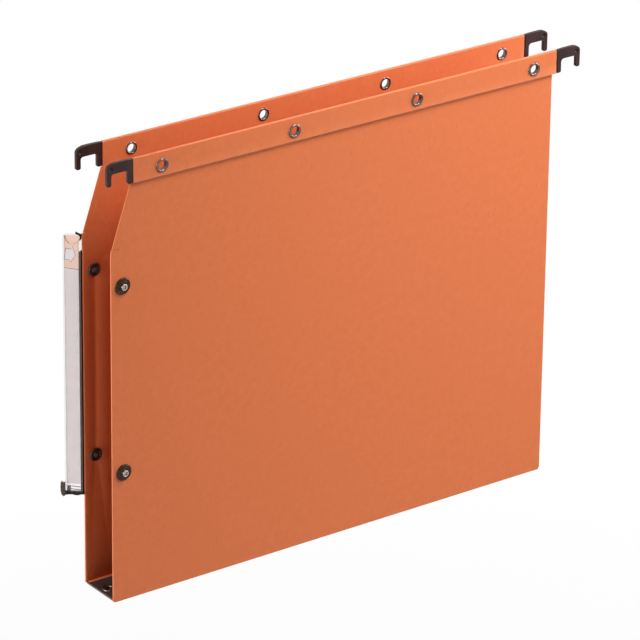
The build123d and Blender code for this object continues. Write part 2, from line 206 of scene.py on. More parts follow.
# Stage: the floor lies low enough for a side to swing down clear of it
FLOOR_SIZE = 12.0
FLOOR_DROP = 0.33
FLOOR_NEAR = 0.22
FLOOR_FAR = 0.8
FLOOR_MIN_WHITE = 0.8
FLOOR_TONE = (0.8, 0.8, 0.8, 1.0)
WHITE = (1.0, 1.0, 1.0, 1.0)
SENSOR_WIDTH = 36.0
KEY_PLACE = (0.95, -0.33, 0.2)
KEY_SIZE = 0.5
TOP_PLACE = (0.35, -0.45, 0.9)
TOP_TARGET = (0.1, 0.0, 0.0)
TOP_SIZE = 0.5
SIDE_PLACE = (-1.5, 0.05, 0.1)
SIDE_SIZE = 0.6
SKY_SIDE = (0.0, 1.0, 0.0)


def length(name, description, default):
    """A size in metres that a user can change."""
    return FloatProperty(name=name, description=description, default=default, unit="LENGTH", precision=5)


def turn(name, description, degrees):
    """An angle that a user can change."""
    return FloatProperty(name=name, description=description, default=radians(degrees), subtype="ANGLE")


def amount(name, description, default):
    """A plain number that a user can change."""
    return FloatProperty(name=name, description=description, default=default)


def linear(channel):
    """A screen value from 0 to 255 as linear light."""
    share = channel / 255
    return share / 12.92 if share <= 0.04045 else ((share + 0.055) / 1.055) ** 2.4


def tint(name, description, red, green, blue):
    """A colour that a user can change, given in screen values."""
    return FloatVectorProperty(
        name=name, description=description, subtype="COLOR", size=3, min=0.0, max=1.0,
        default=(linear(red), linear(green), linear(blue)),
    )


class FolderCard(PropertyGroup):
    """Sizes of the card sides."""
    thickness: length("Card thickness", "Thickness of the kraft card", 0.0005)
    hem_height: length("Hem height", "Height of the folded hem", 0.0154)
    shoulder_drop: length("Shoulder drop", "Drop of the side's shoulders below the hem", 0.0004)
    shoulder_overhang: length("Shoulder overhang", "Reach of the front shoulder past the hem", 0.0012)
    corner_drop: length("Corner drop", "Height of the slanted front corner", 0.055)
    rear_inset: length("Rear inset", "Inset of the side's rear edge from the hem end", 0.002)
    bottom_corner: length("Bottom corner", "Cut of the side's two bottom corners", 0.0008)
    crease_radius: length("Crease radius", "Middle radius of the bottom folds", 0.0006)
    flange: length("Flange", "Width of the near side's fold under the gusset", 0.003)
    flare: length("Hem flare", "How far the hem's free edge stands off", 0.0002)
    flare_height: length("Flare height", "Height of the part of the hem that stands off", 0.006)
    bow: length("Bow", "How far a side bellies outwards in its middle", 0.0005)
    edge_band: length("Edge band", "Width of the worn band along the cut edges", 0.0011)
    edge_round: length("Edge round", "Rounding of the cut edges", 0.0001)
    plate_corner: length("Plate corner", "Radius of the bottom plate's corners", 0.0012)
    flap_taper: length("Flap taper", "Height over which the front flap thins out at its top", 0.012)
    flap_edge: length("Flap edge", "Width over which the front flap thins out at its free edge", 0.003)
    bead_radius: length("Bead radius", "Radius of the fold between the plate and the far side", 0.0008)
    bead_gap: length("Bead gap", "Gap between that fold and the far side's flap", 0.00012)
    slit_length: length("Slit length", "Length of the slit at the knee", 0.0052)
    slit_width: length("Slit width", "Width of the slit at the knee", 0.0003)
    slit_rise: length("Slit rise", "Height of the slit's open end above the knee", 0.0012)


class FolderHook(PropertyGroup):
    """Sizes of the plastic hooks."""
    inner_leg: length("Inner leg", "Width of the leg at the hem", 0.00385)
    prong: length("Prong", "Width of the outer prong", 0.0032)
    prong_rise: length("Prong rise", "How much shorter the prong is than the leg", 0.0011)
    crown: length("Crown", "Rise of the arched top", 0.0004)
    shoulder_length: length("Shoulder length", "Length of the falling outer shoulder", 0.0064)
    shoulder_drop: length("Shoulder drop", "Height of the falling outer shoulder", 0.0036)
    tip_radius: length("Tip radius", "Radius of the prong and leg tips", 0.0011)
    slot_outer_radius: length("Slot outer radius", "Radius of the slot's corner at the prong", 0.0016)
    slot_inner_radius: length("Slot inner radius", "Radius of the slot's corner at the leg", 0.002)
    edge_radius: length("Edge radius", "Rounding of the hook's edges", 0.0003)
    neck_length: length("Neck length", "Length of the thin neck at the hem", 0.001)
    neck_step: length("Neck step", "How far the neck is stepped in", 0.00025)
    dimple_radius: length("Dimple radius", "Radius of the round dimple", 0.0013)
    dimple_depth: length("Dimple depth", "Depth of the round dimple", 0.0008)
    dimple_inset: length("Dimple inset", "Dimple's distance from the outer end", 0.003)
    dimple_drop: length("Dimple drop", "Dimple's distance from the top", 0.0037)
    tang_height: length("Tang height", "Height of the bar's end inside the hook", 0.0034)
    tang_gap: length("Tang gap", "Gap round the bar's end inside the hook", 0.00003)


class FolderMetal(PropertyGroup):
    """Sizes of the eyelets, press studs and rivets."""
    eyelet_bore: length("Eyelet bore", "Radius of the eyelets' bore", 0.00275)
    eyelet_wall: length("Eyelet wall", "Thickness of the eyelets' tube", 0.00035)
    eyelet_lip: length("Eyelet lip", "Height of the rolled lip on the inside", 0.00045)
    tube_clearance: length("Tube clearance", "Gap round the eyelets' and rivets' tubes", 0.00005)
    post_hole: length("Post hole", "Radius of the holes for the press studs", 0.00133)
    rivet_bore: length("Rivet bore", "Radius of the base rivets' bore", 0.0022)
    rivet_wall: length("Rivet wall", "Thickness of the base rivets' tube", 0.0004)
    rivet_lip: length("Rivet lip", "Height of the base rivets' lower lip", 0.0004)


class FolderLabel(PropertyGroup):
    """Sizes of the label holder."""
    angle: turn("Holder angle", "Turn of the holder from the folder's front", 38.0)
    plate: length("Rail plate", "Thickness of the rail's plates", 0.0008)
    leaf_width: length("Leaf width", "Width of the rail's leaf on the card", 0.015)
    width: length("Holder width", "Width of the holder from the card's edge", 0.0114)
    ridge_width: length("Ridge width", "Width of the rail's ridge", 0.001)
    ridge_height: length("Ridge height", "Height of the rail's ridge", 0.0018)
    groove_width: length("Groove width", "Width of the groove between the ridge and the card", 0.0007)
    groove_height: length("Groove height", "Height of that groove's floor", 0.0003)
    ridge_drop: length("Ridge drop", "Distance of the ridge's upper end from the rail's top", 0.0105)
    lip_width: length("Lip width", "Width of the ridge's lip over the sleeve", 0.0021)
    cap: length("Cap", "Thickness of the end cap", 0.0012)
    cap_depth: length("Cap depth", "Reach of the end cap in front of the label", 0.0024)
    ear_width: length("Ear width", "Width of the cap's ear", 0.0028)
    ear_height: length("Ear height", "Height of the cap's ear", 0.009)
    ear_drop: length("Ear drop", "How far the ear's point hangs below the cap", 0.0016)
    lug_length: length("Lug length", "Length of the slanted lug at the rail's top", 0.004)
    lug_rise: length("Lug rise", "Height of the lug's free end above the rail", 0.0011)
    lug_fall: length("Lug fall", "How far the lug falls towards the card", 0.0018)
    tooth_width: length("Tooth width", "Reach of the small tooth under the lug", 0.0017)
    tooth_height: length("Tooth height", "Height of the small tooth under the lug", 0.0042)
    lug_thickness: length("Lug thickness", "Thickness of the lug", 0.0014)
    wall: length("Sleeve wall", "Thickness of the clear sleeve", 0.0006)
    clearance: length("Sleeve clearance", "Gap between the sleeve and the rail", 0.00005)
    corner: length("Sleeve corner", "Radius of the sleeve's top corners", 0.0022)
    paper: length("Paper", "Thickness of the label", 0.00025)
    paper_gap: length("Paper gap", "Gap between the label and the sleeve", 0.0002)
    notch_radius: length("Notch radius", "Radius of the thumb notch", 0.0044)
    notch_drop: length("Notch drop", "Depth of the thumb notch's centre", 0.0013)
    stop_height: length("Stop height", "Height of the clear end under the label", 0.005)
    stop_width: length("Stop width", "Width of the stop block under the label", 0.0022)
    stop_inset: length("Stop inset", "Distance of the stop block from the sleeve's wall", 0.0004)
    bar_height: length("Stop bar height", "Height of each thin bar beside the stop block", 0.0004)
    bar_fall: length("Stop bar fall", "How far each bar falls towards the card", 0.0009)
    head: length("Label head", "Height of the label's tinted head", 0.0212)
    head_slant: amount("Head slant", "Slope of the line under the label's head", 0.13)
    print_blur: length("Print blur", "Softness of the printed edges", 0.00012)
    print_line: length("Print line", "Half height of the printed line", 0.00022)
    print_relief: length("Print relief", "Thickness of the printed arrow", 0.00002)
    paper_corner: length("Paper corner", "Radius of the label's corners", 0.0004)
    arrow_length: length("Arrow length", "Length of the printed arrow", 0.0066)
    arrow_height: length("Arrow height", "Height of the printed arrow", 0.0118)
    arrow_aside: length("Arrow aside", "Arrow's distance from the label's middle", 0.0008)
    arrow_drop: length("Arrow drop", "Arrow's distance from the label's top", 0.0122)


class FolderColours(PropertyGroup):
    """Colours of the finishes."""
    card: tint("Card", "Kraft card", 223, 118, 68)
    card_dark: tint("Card, dark fibres", "Dark fibres of the kraft card", 221, 115, 66)
    card_light: tint("Card, light fibres", "Light fibres of the kraft card", 226, 122, 71)
    fleck_light: tint("Light flecks", "Pale flecks in the kraft card", 238, 144, 100)
    fleck_dark: tint("Dark flecks", "Dark hairs in the kraft card", 200, 92, 54)
    # The worn tone also serves as the painted highlight on the bottom fold's bead
    card_wear_and_highlight: tint("Card edge", "Worn edges and folds of the card", 234, 140, 98)
    hook: tint("Hook plastic", "Moulded plastic of the hooks", 50, 33, 30)
    holder: tint("Holder plastic", "Extruded plastic of the label rail", 82, 65, 61)
    steel: tint("Bar steel", "Rolled steel of the bars and springs", 150, 150, 152)
    nickel: tint("Nickel", "Plated eyelets", 116, 101, 97)
    bronze: tint("Bronze", "Plated press studs", 66, 51, 42)
    # Painted glint on the press studs' tips and painted highlight on the black caps' domes
    painted_glint_metal: tint("Painted glint on metal", "Painted glint on the tips of the press studs", 226, 212, 202)
    painted_highlight_enamel: tint("Painted highlight on enamel", "Painted highlight on the domes of the black caps", 112, 102, 98)
    rivet: tint("Rivets", "Dull plate of the rivets in the bottom", 118, 103, 96)
    cap_black: tint("Post caps", "Blackened inside caps of the press studs", 40, 32, 29)
    plate: tint("Bottom plate", "Pressed board in the folder's bottom", 72, 56, 51)
    # Painted highlight on the bottom plate's rounded ends
    plate_end_highlight: tint("Bottom plate edge", "Painted highlight on the bottom plate's rounded ends", 104, 86, 84)
    # Painted shade on the rail's sunken and lower parts, a dark copy of the holder plastic
    holder_painted_shade: tint("Rail's shaded plastic", "Sunken and lower parts of the label rail", 26, 18, 17)
    clear: tint("Clear plastic", "Label sleeve", 244, 240, 240)
    clear_edge: tint("Clear plastic edges", "Cut edges of the label sleeve", 132, 106, 96)
    paper: tint("Paper", "White of the label", 240, 231, 232)
    peach: tint("Label head", "Tinted head of the label", 252, 216, 194)
    ink: tint("Label ink", "Grey print of the label's arrow", 140, 122, 116)


class FolderStage(PropertyGroup):
    """Camera and light."""
    azimuth: turn("Azimuth", "Camera's turn about the folder", -36.24)
    elevation: turn("Elevation", "Camera's height above the horizon", 24.02)
    roll: turn("Roll", "Camera's roll", 0.69)
    distance: length("Distance", "Camera's distance along its axis", 2.8222)
    aside: length("Aside", "Origin's place right of the camera's axis", 0.0086)
    rise: length("Rise", "Origin's height above the camera's axis", 0.1283)
    lens: amount("Lens", "Focal length in millimetres on a 36 mm sensor", 266.6)
    key_power: amount("Key power", "Power of the light right of the front in watts", 9.3)
    top_power: amount("Top power", "Power of the light above the front in watts", 1.95)
    top_spread: turn("Top spread", "Width of the beam of the light above the front", 60.0)
    side_power: amount("Side power", "Power of the light on the label's side in watts", 18.0)
    sky_low: amount("Low sky", "Strength of the soft light from the front", 0.02)
    sky_high: amount("High sky", "Strength of the soft light from behind", 0.95)


# Mesh steps
def select_only(*objects):
    """Leaves edit mode and selects these objects and nothing else."""
    if bpy.context.mode != "OBJECT":
        bpy.ops.object.mode_set(mode="OBJECT")
    bpy.ops.object.select_all(action="DESELECT")
    for obj in objects:
        obj.select_set(True)
    bpy.context.view_layer.objects.active = objects[0] if objects else None


def start_point(name, point):
    """A new mesh of one vertex, open in edit mode: a plane merged to its middle and moved."""
    select_only()
    bpy.ops.mesh.primitive_plane_add()
    obj = bpy.context.object
    obj.name = name
    obj.data.name = name
    bpy.ops.object.mode_set(mode="EDIT")
    bpy.ops.mesh.select_all(action="SELECT")
    bpy.ops.mesh.merge(type="CENTER")
    bpy.ops.transform.translate(value=point)
    return obj


def draw_chain(name, points):
    """A new mesh with a chain of edges, drawn by extruding a vertex from each point to the next."""
    places = [Vector(point) for point in points]
    obj = start_point(name, places[0])
    for here, there in zip(places, places[1:]):
        bpy.ops.mesh.extrude_vertices_move(TRANSFORM_OT_translate={"value": there - here})
    return obj


def pick(obj, rule):
    """Selects, in edit mode, the vertices whose place fits the rule, and what lies between them."""
    bpy.ops.mesh.select_mode(type="VERT")
    bpy.ops.mesh.select_all(action="DESELECT")
    mesh = bmesh.from_edit_mesh(obj.data)
    for vertex in mesh.verts:
        vertex.select_set(bool(rule(vertex.co)))
    mesh.select_flush(True)
    bmesh.update_edit_mesh(obj.data)


def face_outwards(obj):
    """Merges doubles and turns the faces outwards, then leaves edit mode."""
    bpy.ops.mesh.select_all(action="SELECT")
    bpy.ops.mesh.remove_doubles(threshold=MERGE_GAP)
    bpy.ops.mesh.normals_make_consistent(inside=False)
    select_only(obj)


def fill_outline(obj, corners):
    """Closes a drawn chain and fills it with one face."""
    first, last = Vector(corners[0]), Vector(corners[-1])
    pick(obj, lambda place: min((place - first).length, (place - last).length) < PICK_GAP)
    bpy.ops.mesh.edge_face_add()
    bpy.ops.mesh.select_all(action="SELECT")
    bpy.ops.mesh.edge_face_add()


def outline_solid(name, corners, depth):
    """A closed outline, filled and extruded along a vector."""
    obj = draw_chain(name, corners)
    fill_outline(obj, corners)
    bpy.ops.mesh.extrude_region_move(TRANSFORM_OT_translate={"value": Vector(depth)})
    face_outwards(obj)
    return obj


def spun_solid(name, profile, centre, along, across):
    """A turned piece: a profile of radius and height, drawn in the plane of two directions and spun."""
    axis, reach = Vector(along), Vector(across)
    points = [Vector(centre) + reach * radius + axis * height for radius, height in profile]
    obj = draw_chain(name, points)
    bpy.ops.mesh.select_all(action="SELECT")
    bpy.ops.mesh.spin(steps=SPIN_STEPS, angle=2 * pi, center=centre, axis=axis)
    face_outwards(obj)
    return obj


def apply_modifier(obj, kind, **settings):
    """Adds a modifier, sets it and applies it."""
    select_only(obj)
    modifier = obj.modifiers.new(kind.lower(), kind)
    for name, value in settings.items():
        setattr(modifier, name, value)
    bpy.ops.object.modifier_apply(modifier=modifier.name)


def cut_away(obj, cutters):
    """Cuts the joined cutters out of a piece."""
    select_only(*cutters)
    if len(cutters) > 1:
        bpy.ops.object.join()
    tool = bpy.context.view_layer.objects.active
    apply_modifier(obj, "BOOLEAN", operation="DIFFERENCE", solver="EXACT", object=tool)
    bpy.data.objects.remove(tool)


def round_edges(obj, width, segments=3, degrees=SHARP_DEGREES):
    """Rounds the edges of a piece that are sharper than an angle."""
    apply_modifier(
        obj, "BEVEL", width=width, segments=segments, limit_method="ANGLE",
        angle_limit=radians(degrees), use_clamp_overlap=True, harden_normals=False,
    )


def shade(obj, degrees=SMOOTH_DEGREES):
    """Smooth shading, split at sharp edges."""
    select_only(obj)
    bpy.ops.object.shade_smooth_by_angle(angle=radians(degrees))


def joined(name, pieces):
    """Several meshes as one piece."""
    select_only(*pieces)
    bpy.ops.object.join()
    obj = bpy.context.object
    obj.name = name
    obj.data.name = name
    return obj


def mirrored(obj, name, axes):
    """A copy with its own mesh, mirrored in the planes across the axes given by number."""
    twin = obj.copy()
    twin.data = obj.data.copy()
    twin.name = name
    twin.data.name = name
    bpy.context.collection.objects.link(twin)
    for axis in axes:
        twin.scale[axis] = -1.0
    select_only(twin)
    bpy.ops.object.transform_apply(location=True, rotation=True, scale=True)
    bpy.ops.object.mode_set(mode="EDIT")
    bpy.ops.mesh.select_all(action="SELECT")
    bpy.ops.mesh.normals_make_consistent(inside=False)
    select_only(twin)
    return twin


def moved(obj, name, step):
    """A copy with its own mesh, moved by a step."""
    twin = mirrored(obj, name, ())
    twin.location = step
    select_only(twin)
    bpy.ops.object.transform_apply(location=True, rotation=True, scale=True)
    return twin


def rod_along_y(radius, x, z, low_y, high_y):
    """A round cutter along Y."""
    select_only()
    bpy.ops.mesh.primitive_cylinder_add(
        vertices=SPIN_STEPS, radius=radius, depth=high_y - low_y,
        location=(x, (low_y + high_y) / 2, z), rotation=(pi / 2, 0, 0),
    )
    bpy.ops.object.transform_apply(location=True, rotation=True, scale=True)
    return bpy.context.object


def rod_along_z(radius, x, y, low_z, high_z):
    """A round cutter along Z."""
    select_only()
    bpy.ops.mesh.primitive_cylinder_add(
        vertices=SPIN_STEPS, radius=radius, depth=high_z - low_z, location=(x, y, (low_z + high_z) / 2),
    )
    bpy.ops.object.transform_apply(location=True, rotation=True, scale=True)
    return bpy.context.object


def box_cutter(low, high):
    """A square cutter between two corners."""
    base = [(low[0], low[1]), (high[0], low[1]), (high[0], high[1]), (low[0], high[1])]
    corners = [(x, y, low[2]) for x, y in base]
    return outline_solid("cutter", corners, (0, 0, high[2] - low[2]))


def arc(centre, radii, start, end, steps=ROUND_STEPS):
    """Points on an arc of an ellipse between two angles in degrees."""
    across, up = centre
    points = []
    for step in range(steps + 1):
        angle = radians(start + (end - start) * step / steps)
        points.append((across + radii[0] * cos(angle), up + radii[1] * sin(angle)))
    return points


def rounded(corners):
    """An outline given as places with a radius each, with its corners rounded."""
    points = []
    count = len(corners)
    for index, (here, radius) in enumerate(corners):
        corner = Vector(here)
        if radius <= 0:
            points.append(tuple(corner))
            continue
        back = (Vector(corners[index - 1][0]) - corner).normalized()
        on = (Vector(corners[(index + 1) % count][0]) - corner).normalized()
        half = back.angle(on) / 2
        middle = corner + (back + on).normalized() * (radius / sin(half))
        first = corner + back * (radius * cos(half) / sin(half)) - middle
        last = corner + on * (radius * cos(half) / sin(half)) - middle
        start = atan2(first.y, first.x)
        sweep = (atan2(last.y, last.x) - start + pi) % (2 * pi) - pi
        for step in range(ROUND_STEPS + 1):
            angle = start + sweep * step / ROUND_STEPS
            points.append((middle.x + radius * cos(angle), middle.y + radius * sin(angle)))
    return points


def dress(obj, material, nodes):
    """Gives a piece its finish and hides the nodes that it stands for."""
    obj.data.materials.clear()
    obj.data.materials.append(material)
    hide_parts(*nodes)


def set_wear_and_highlight(obj, rule):
    """Keeps, for each vertex, how worn the surface is there and, on some pieces, how much painted
    highlight it gets, from 0 to 1.
    """
    wear = obj.data.attributes.new("wear_and_highlight", "FLOAT", "POINT")
    wear.data.foreach_set("value", [min(1.0, max(0.0, rule(vertex.co))) for vertex in obj.data.vertices])


# Materials
def blank_material(name):
    """A material with a plain surface shader."""
    material = bpy.data.materials.new(name)
    material.use_nodes = True
    tree = material.node_tree
    tree.nodes.clear()
    shader = tree.nodes.new("ShaderNodeBsdfPrincipled")
    output = tree.nodes.new("ShaderNodeOutputMaterial")
    tree.links.new(shader.outputs["BSDF"], output.inputs["Surface"])
    return material, shader


def feed(tree, socket, value):
    """Links a socket to another one, or sets its value."""
    if isinstance(value, NodeSocket):
        tree.links.new(value, socket)
    else:
        socket.default_value = value


def add_node(material, kind, inputs, **settings):
    """A new node with its settings, and its inputs linked or set."""
    tree = material.node_tree
    node = tree.nodes.new(kind)
    for name, value in settings.items():
        setattr(node, name, value)
    for name, value in inputs.items():
        feed(tree, node.inputs[name], value)
    return node


def own_place(material, stretch=(1.0, 1.0, 1.0)):
    """The piece's own coordinates, stretched along each axis."""
    source = add_node(material, "ShaderNodeTexCoord", {}).outputs["Object"]
    node = add_node(material, "ShaderNodeMapping", {"Vector": source, "Scale": stretch})
    return node.outputs["Vector"]


def noise(material, vector, scale, detail=3.0, roughness=0.55):
    """A noise value from 0 to 1."""
    inputs = {"Vector": vector, "Scale": scale, "Detail": detail, "Roughness": roughness}
    return add_node(material, "ShaderNodeTexNoise", inputs).outputs["Fac"]


def compute(material, operation, first, second=0.0):
    """A number worked out from two others."""
    node = add_node(material, "ShaderNodeMath", {0: first, 1: second}, operation=operation)
    return node.outputs["Value"]


def spread(material, value, low, high, new_low=0.0, new_high=1.0):
    """A number moved smoothly from one range to another."""
    inputs = {"Value": value, "From Min": low, "From Max": high, "To Min": new_low, "To Max": new_high}
    node = add_node(material, "ShaderNodeMapRange", inputs, interpolation_type="SMOOTHSTEP")
    return node.outputs["Result"]


def opaque(colour):
    """A colour with full alpha, or a linked colour as it is."""
    return colour if isinstance(colour, NodeSocket) else (*colour, 1.0)


def mix(material, factor, first, second):
    """A colour between two others."""
    inputs = {0: factor, 6: opaque(first), 7: opaque(second)}
    return add_node(material, "ShaderNodeMix", inputs, data_type="RGBA").outputs[2]


def scaled(colour, factor):
    """A darker or lighter tone of a colour."""
    return tuple(min(1.0, channel * factor) for channel in colour)


def wear_and_highlight_on(material):
    """How worn the surface is, and on some pieces how much painted highlight it gets, as kept with the
    piece's vertices.
    """
    return add_node(material, "ShaderNodeAttribute", {}, attribute_name="wear_and_highlight").outputs["Fac"]


def bump(material, height, depth, strength):
    """A surface direction from a height, as deep as given."""
    inputs = {"Height": height, "Strength": strength, "Distance": depth}
    return add_node(material, "ShaderNodeBump", inputs).outputs["Normal"]


def finish(material, shader, **values):
    """Feeds the shader's sockets, named with underscores for spaces."""
    for name, value in values.items():
        feed(material.node_tree, shader.inputs[name.replace("_", " ")], value)
    return material


def kraft_card():
    """Orange kraft card: faint clouds, pale flecks, dark hairs, fine tooth, rubbed edges and a painted
    highlight on the bottom fold's bead.
    """
    colours = bpy.context.scene.folder_colours
    material, shader = blank_material("orange_kraft")
    here = own_place(material)
    clouds = noise(material, here, CARD_CLOUDS)
    mottle = noise(material, here, CARD_MOTTLE, detail=4.0, roughness=0.6)
    tooth = noise(material, here, CARD_TOOTH, detail=2.0)
    short, long = own_place(material, (1.0, 1.0, 0.6)), own_place(material, (1.0, 1.0, 0.22))
    flecks = noise(material, short, CARD_FLECKS, detail=2.0)
    hairs = noise(material, long, CARD_FLECKS, detail=1.0)
    base = mix(material, spread(material, mottle, *TONE_RANGE), colours.card_dark, colours.card_light)
    base = mix(material, spread(material, clouds, *TONE_RANGE, 0.0, 0.5), base, colours.card)
    base = mix(material, spread(material, flecks, 0.63, 0.76, 0.0, 0.4), base, colours.fleck_light)
    base = mix(material, spread(material, hairs, 0.22, 0.34, 0.28, 0.0), base, colours.fleck_dark)
    # Rubbed edges and folds from the kept vertex values, which on the bottom fold's bead are a painted
    # highlight
    broken = spread(material, mottle, 0.2, 0.6, 0.55, 1.0)
    rubbed = compute(material, "MULTIPLY", wear_and_highlight_on(material), broken)
    base = mix(material, rubbed, base, colours.card_wear_and_highlight)
    raised = compute(material, "MULTIPLY", flecks, FLECK_SHARE)
    height = compute(material, "ADD", raised, compute(material, "MULTIPLY", tooth, 1 - FLECK_SHARE))
    return finish(
        material, shader, Base_Color=base,
        Roughness=spread(material, mottle, *GLOSS_RANGE, 0.56, 0.68),
        Normal=bump(material, height, CARD_GRAIN, strength=0.17), Specular_IOR_Level=0.35,
    )


def moulded_plastic(name, colour, gloss):
    """Dark moulded plastic with a fine spark texture."""
    material, shader = blank_material(name)
    here = own_place(material)
    spark = noise(material, here, PLASTIC_SPARK, detail=2.0)
    flow = noise(material, here, PLASTIC_FLOW)
    lighter = scaled(colour, 1.5)
    base = mix(material, spread(material, flow, *TONE_RANGE), colour, lighter)
    return finish(
        material, shader, Base_Color=base,
        Roughness=spread(material, flow, *GLOSS_RANGE, gloss, gloss + 0.14),
        Normal=bump(material, spark, PLASTIC_GRAIN, strength=0.16), Specular_IOR_Level=0.2,
    )


def plated_metal(name, colour, gloss, tarnish):
    """Plated metal with faint turning marks, a darker tarnish in patches, and a painted glint where the
    piece keeps one.
    """
    material, shader = blank_material(name)
    here = own_place(material)
    patches = noise(material, here, PLATING_PATCHES, detail=4.0)
    along = own_place(material, (1.0, 0.1, 1.0))
    scratches = noise(material, along, PLATING_SCRATCHES, detail=2.0)
    darker = scaled(colour, tarnish)
    base = mix(material, spread(material, patches, 0.42, 0.72), colour, darker)
    # Painted glint on the press studs' tips, from the kept vertex values
    base = mix(material, wear_and_highlight_on(material), base, bpy.context.scene.folder_colours.painted_glint_metal)
    return finish(
        material, shader, Base_Color=base, Metallic=1.0,
        Roughness=spread(material, patches, 0.25, 0.8, gloss, gloss + 0.16),
        Normal=bump(material, scratches, PLATING_GRAIN, strength=0.05),
    )


def black_enamel():
    """Glossy black enamel with a faint orange-peel skin and a painted highlight on the caps' domes."""
    colours = bpy.context.scene.folder_colours
    material, shader = blank_material("black_enamel")
    here = own_place(material)
    skin = noise(material, here, ENAMEL_SKIN, detail=2.0)
    dust = noise(material, here, ENAMEL_DUST, detail=4.0)
    lighter = scaled(colours.cap_black, 1.6)
    base = mix(material, spread(material, dust, 0.4, 0.75), colours.cap_black, lighter)
    # Painted highlight on the caps' domes, from the kept vertex values
    base = mix(material, wear_and_highlight_on(material), base, colours.painted_highlight_enamel)
    return finish(
        material, shader, Base_Color=base,
        Roughness=spread(material, dust, *GLOSS_RANGE, 0.2, 0.36),
        Normal=bump(material, skin, ENAMEL_GRAIN, strength=0.06), Specular_IOR_Level=0.35,
    )


def rolled_steel():
    """Bright rolled strip with long drawing marks."""
    colours = bpy.context.scene.folder_colours
    material, shader = blank_material("rolled_steel")
    marks = noise(material, own_place(material, (0.02, 1.0, 1.0)), STEEL_MARKS)
    dull = scaled(colours.steel, 0.7)
    base = mix(material, spread(material, marks, *TONE_RANGE), dull, colours.steel)
    return finish(
        material, shader, Base_Color=base, Metallic=1.0,
        Roughness=spread(material, marks, *GLOSS_RANGE, 0.28, 0.45),
        Normal=bump(material, marks, STEEL_GRAIN, strength=0.12),
    )


def pressed_board():
    """Dark pressed board with a smooth skin and a painted highlight on its rounded ends."""
    colours = bpy.context.scene.folder_colours
    material, shader = blank_material("pressed_board")
    here = own_place(material)
    mottle = noise(material, here, BOARD_MOTTLE, detail=4.0)
    fibre = noise(material, own_place(material, (0.2, 1.0, 1.0)), BOARD_FIBRE, detail=2.0)
    darker = scaled(colours.plate, 0.75)
    base = mix(material, spread(material, mottle, *TONE_RANGE), darker, colours.plate)
    # Painted highlight on the plate's rounded ends, from the kept vertex values
    base = mix(material, wear_and_highlight_on(material), base, colours.plate_end_highlight)
    return finish(
        material, shader, Base_Color=base,
        Roughness=spread(material, mottle, *GLOSS_RANGE, 0.42, 0.58),
        Normal=bump(material, fibre, BOARD_GRAIN, strength=0.15), Specular_IOR_Level=0.4,
    )


def clear_sleeve(name, colour, alpha):
    """Clear plastic, a little hazy, with fine rub marks."""
    material, shader = blank_material(name)
    marks = noise(material, own_place(material, (1.0, 1.0, 0.04)), FILM_MARKS)
    return finish(
        material, shader, Base_Color=opaque(colour), Alpha=alpha, IOR=1.49,
        Roughness=spread(material, marks, 0.3, 0.8, 0.05, 0.16),
        Normal=bump(material, marks, FILM_GRAIN, strength=0.04),
    )


def printed_paper():
    """White label paper with a tinted head, split on a slanted line."""
    scene = bpy.context.scene
    colours, label = scene.folder_colours, scene.folder_label
    material, shader = blank_material("printed_paper")
    here = own_place(material)
    axes = add_node(material, "ShaderNodeSeparateXYZ", {"Vector": here}).outputs
    slope = label.head_slant / cos(label.angle)
    level = compute(material, "ADD", axes["Z"], compute(material, "MULTIPLY", axes["X"], slope))
    split = LABEL_HIGH.z - label.head + centre_of("index_label").x * slope
    in_head = spread(material, level, split - label.print_blur, split + label.print_blur)
    on_line = compute(material, "COMPARE", level, split)
    on_line.node.inputs[2].default_value = label.print_line
    fibre = noise(material, here, PAPER_FIBRE)
    mottle = noise(material, here, PAPER_MOTTLE)
    grey = scaled(colours.paper, 0.93)
    white = mix(material, spread(material, mottle, *TONE_RANGE), grey, colours.paper)
    base = mix(material, in_head, white, colours.peach)
    base = mix(material, on_line, base, colours.ink)
    return finish(
        material, shader, Base_Color=base,
        Roughness=spread(material, mottle, *GLOSS_RANGE, 0.5, 0.62),
        Normal=bump(material, fibre, PAPER_GRAIN, strength=0.12), Specular_IOR_Level=0.35,
    )


def flat_print(name, colour):
    """Print on the label: an even tone, broken a little by the paper's fibres."""
    material, shader = blank_material(name)
    fibre = noise(material, own_place(material), PAPER_FIBRE)
    lighter = scaled(colour, 1.08)
    base = mix(material, spread(material, fibre, *TONE_RANGE), colour, lighter)
    relief = bump(material, fibre, INK_GRAIN, strength=0.1)
    return finish(material, shader, Base_Color=base, Roughness=0.55, Normal=relief)


# Shapes of the card sides
def card_levels():
    """Heights and places that the card's steps share, by name."""
    card = bpy.context.scene.folder_card
    middle_y = INNER_Y + card.thickness / 2
    fold_radius = BAR_Y - middle_y
    foot_z = BASE_Z + card.thickness / 2 + card.crease_radius
    return {
        "middle_y": middle_y,
        "leaf_y": LEAF_Y - card.thickness / 2,
        "fold_z": HEM_TOP_Z - card.thickness / 2 - fold_radius,
        "hem_z": HEM_TOP_Z - card.hem_height,
        "shoulder_z": HEM_TOP_Z - card.hem_height - card.shoulder_drop,
        "knee_z": HEM_TOP_Z - card.corner_drop,
        "foot_z": foot_z,
        "rear_x": HEM_END_X - card.rear_inset,
    }


def card_outline():
    """Corners of a side's flat part, as x and z, from the front bottom corner round to the knee."""
    card, at = bpy.context.scene.folder_card, card_levels()
    corner = card.bottom_corner
    return [
        (FRONT_X, at["foot_z"] + corner),
        (FRONT_X + corner, at["foot_z"]),
        (at["rear_x"] - corner, at["foot_z"]),
        (at["rear_x"], at["foot_z"] + corner),
        (at["rear_x"], at["shoulder_z"]),
        (HEM_END_X, at["shoulder_z"]),
        (HEM_END_X, at["fold_z"]),
        (-HEM_END_X, at["fold_z"]),
        (-HEM_END_X, at["shoulder_z"]),
        (-HEM_END_X - card.shoulder_overhang, at["shoulder_z"]),
        (FRONT_X, at["knee_z"]),
    ]


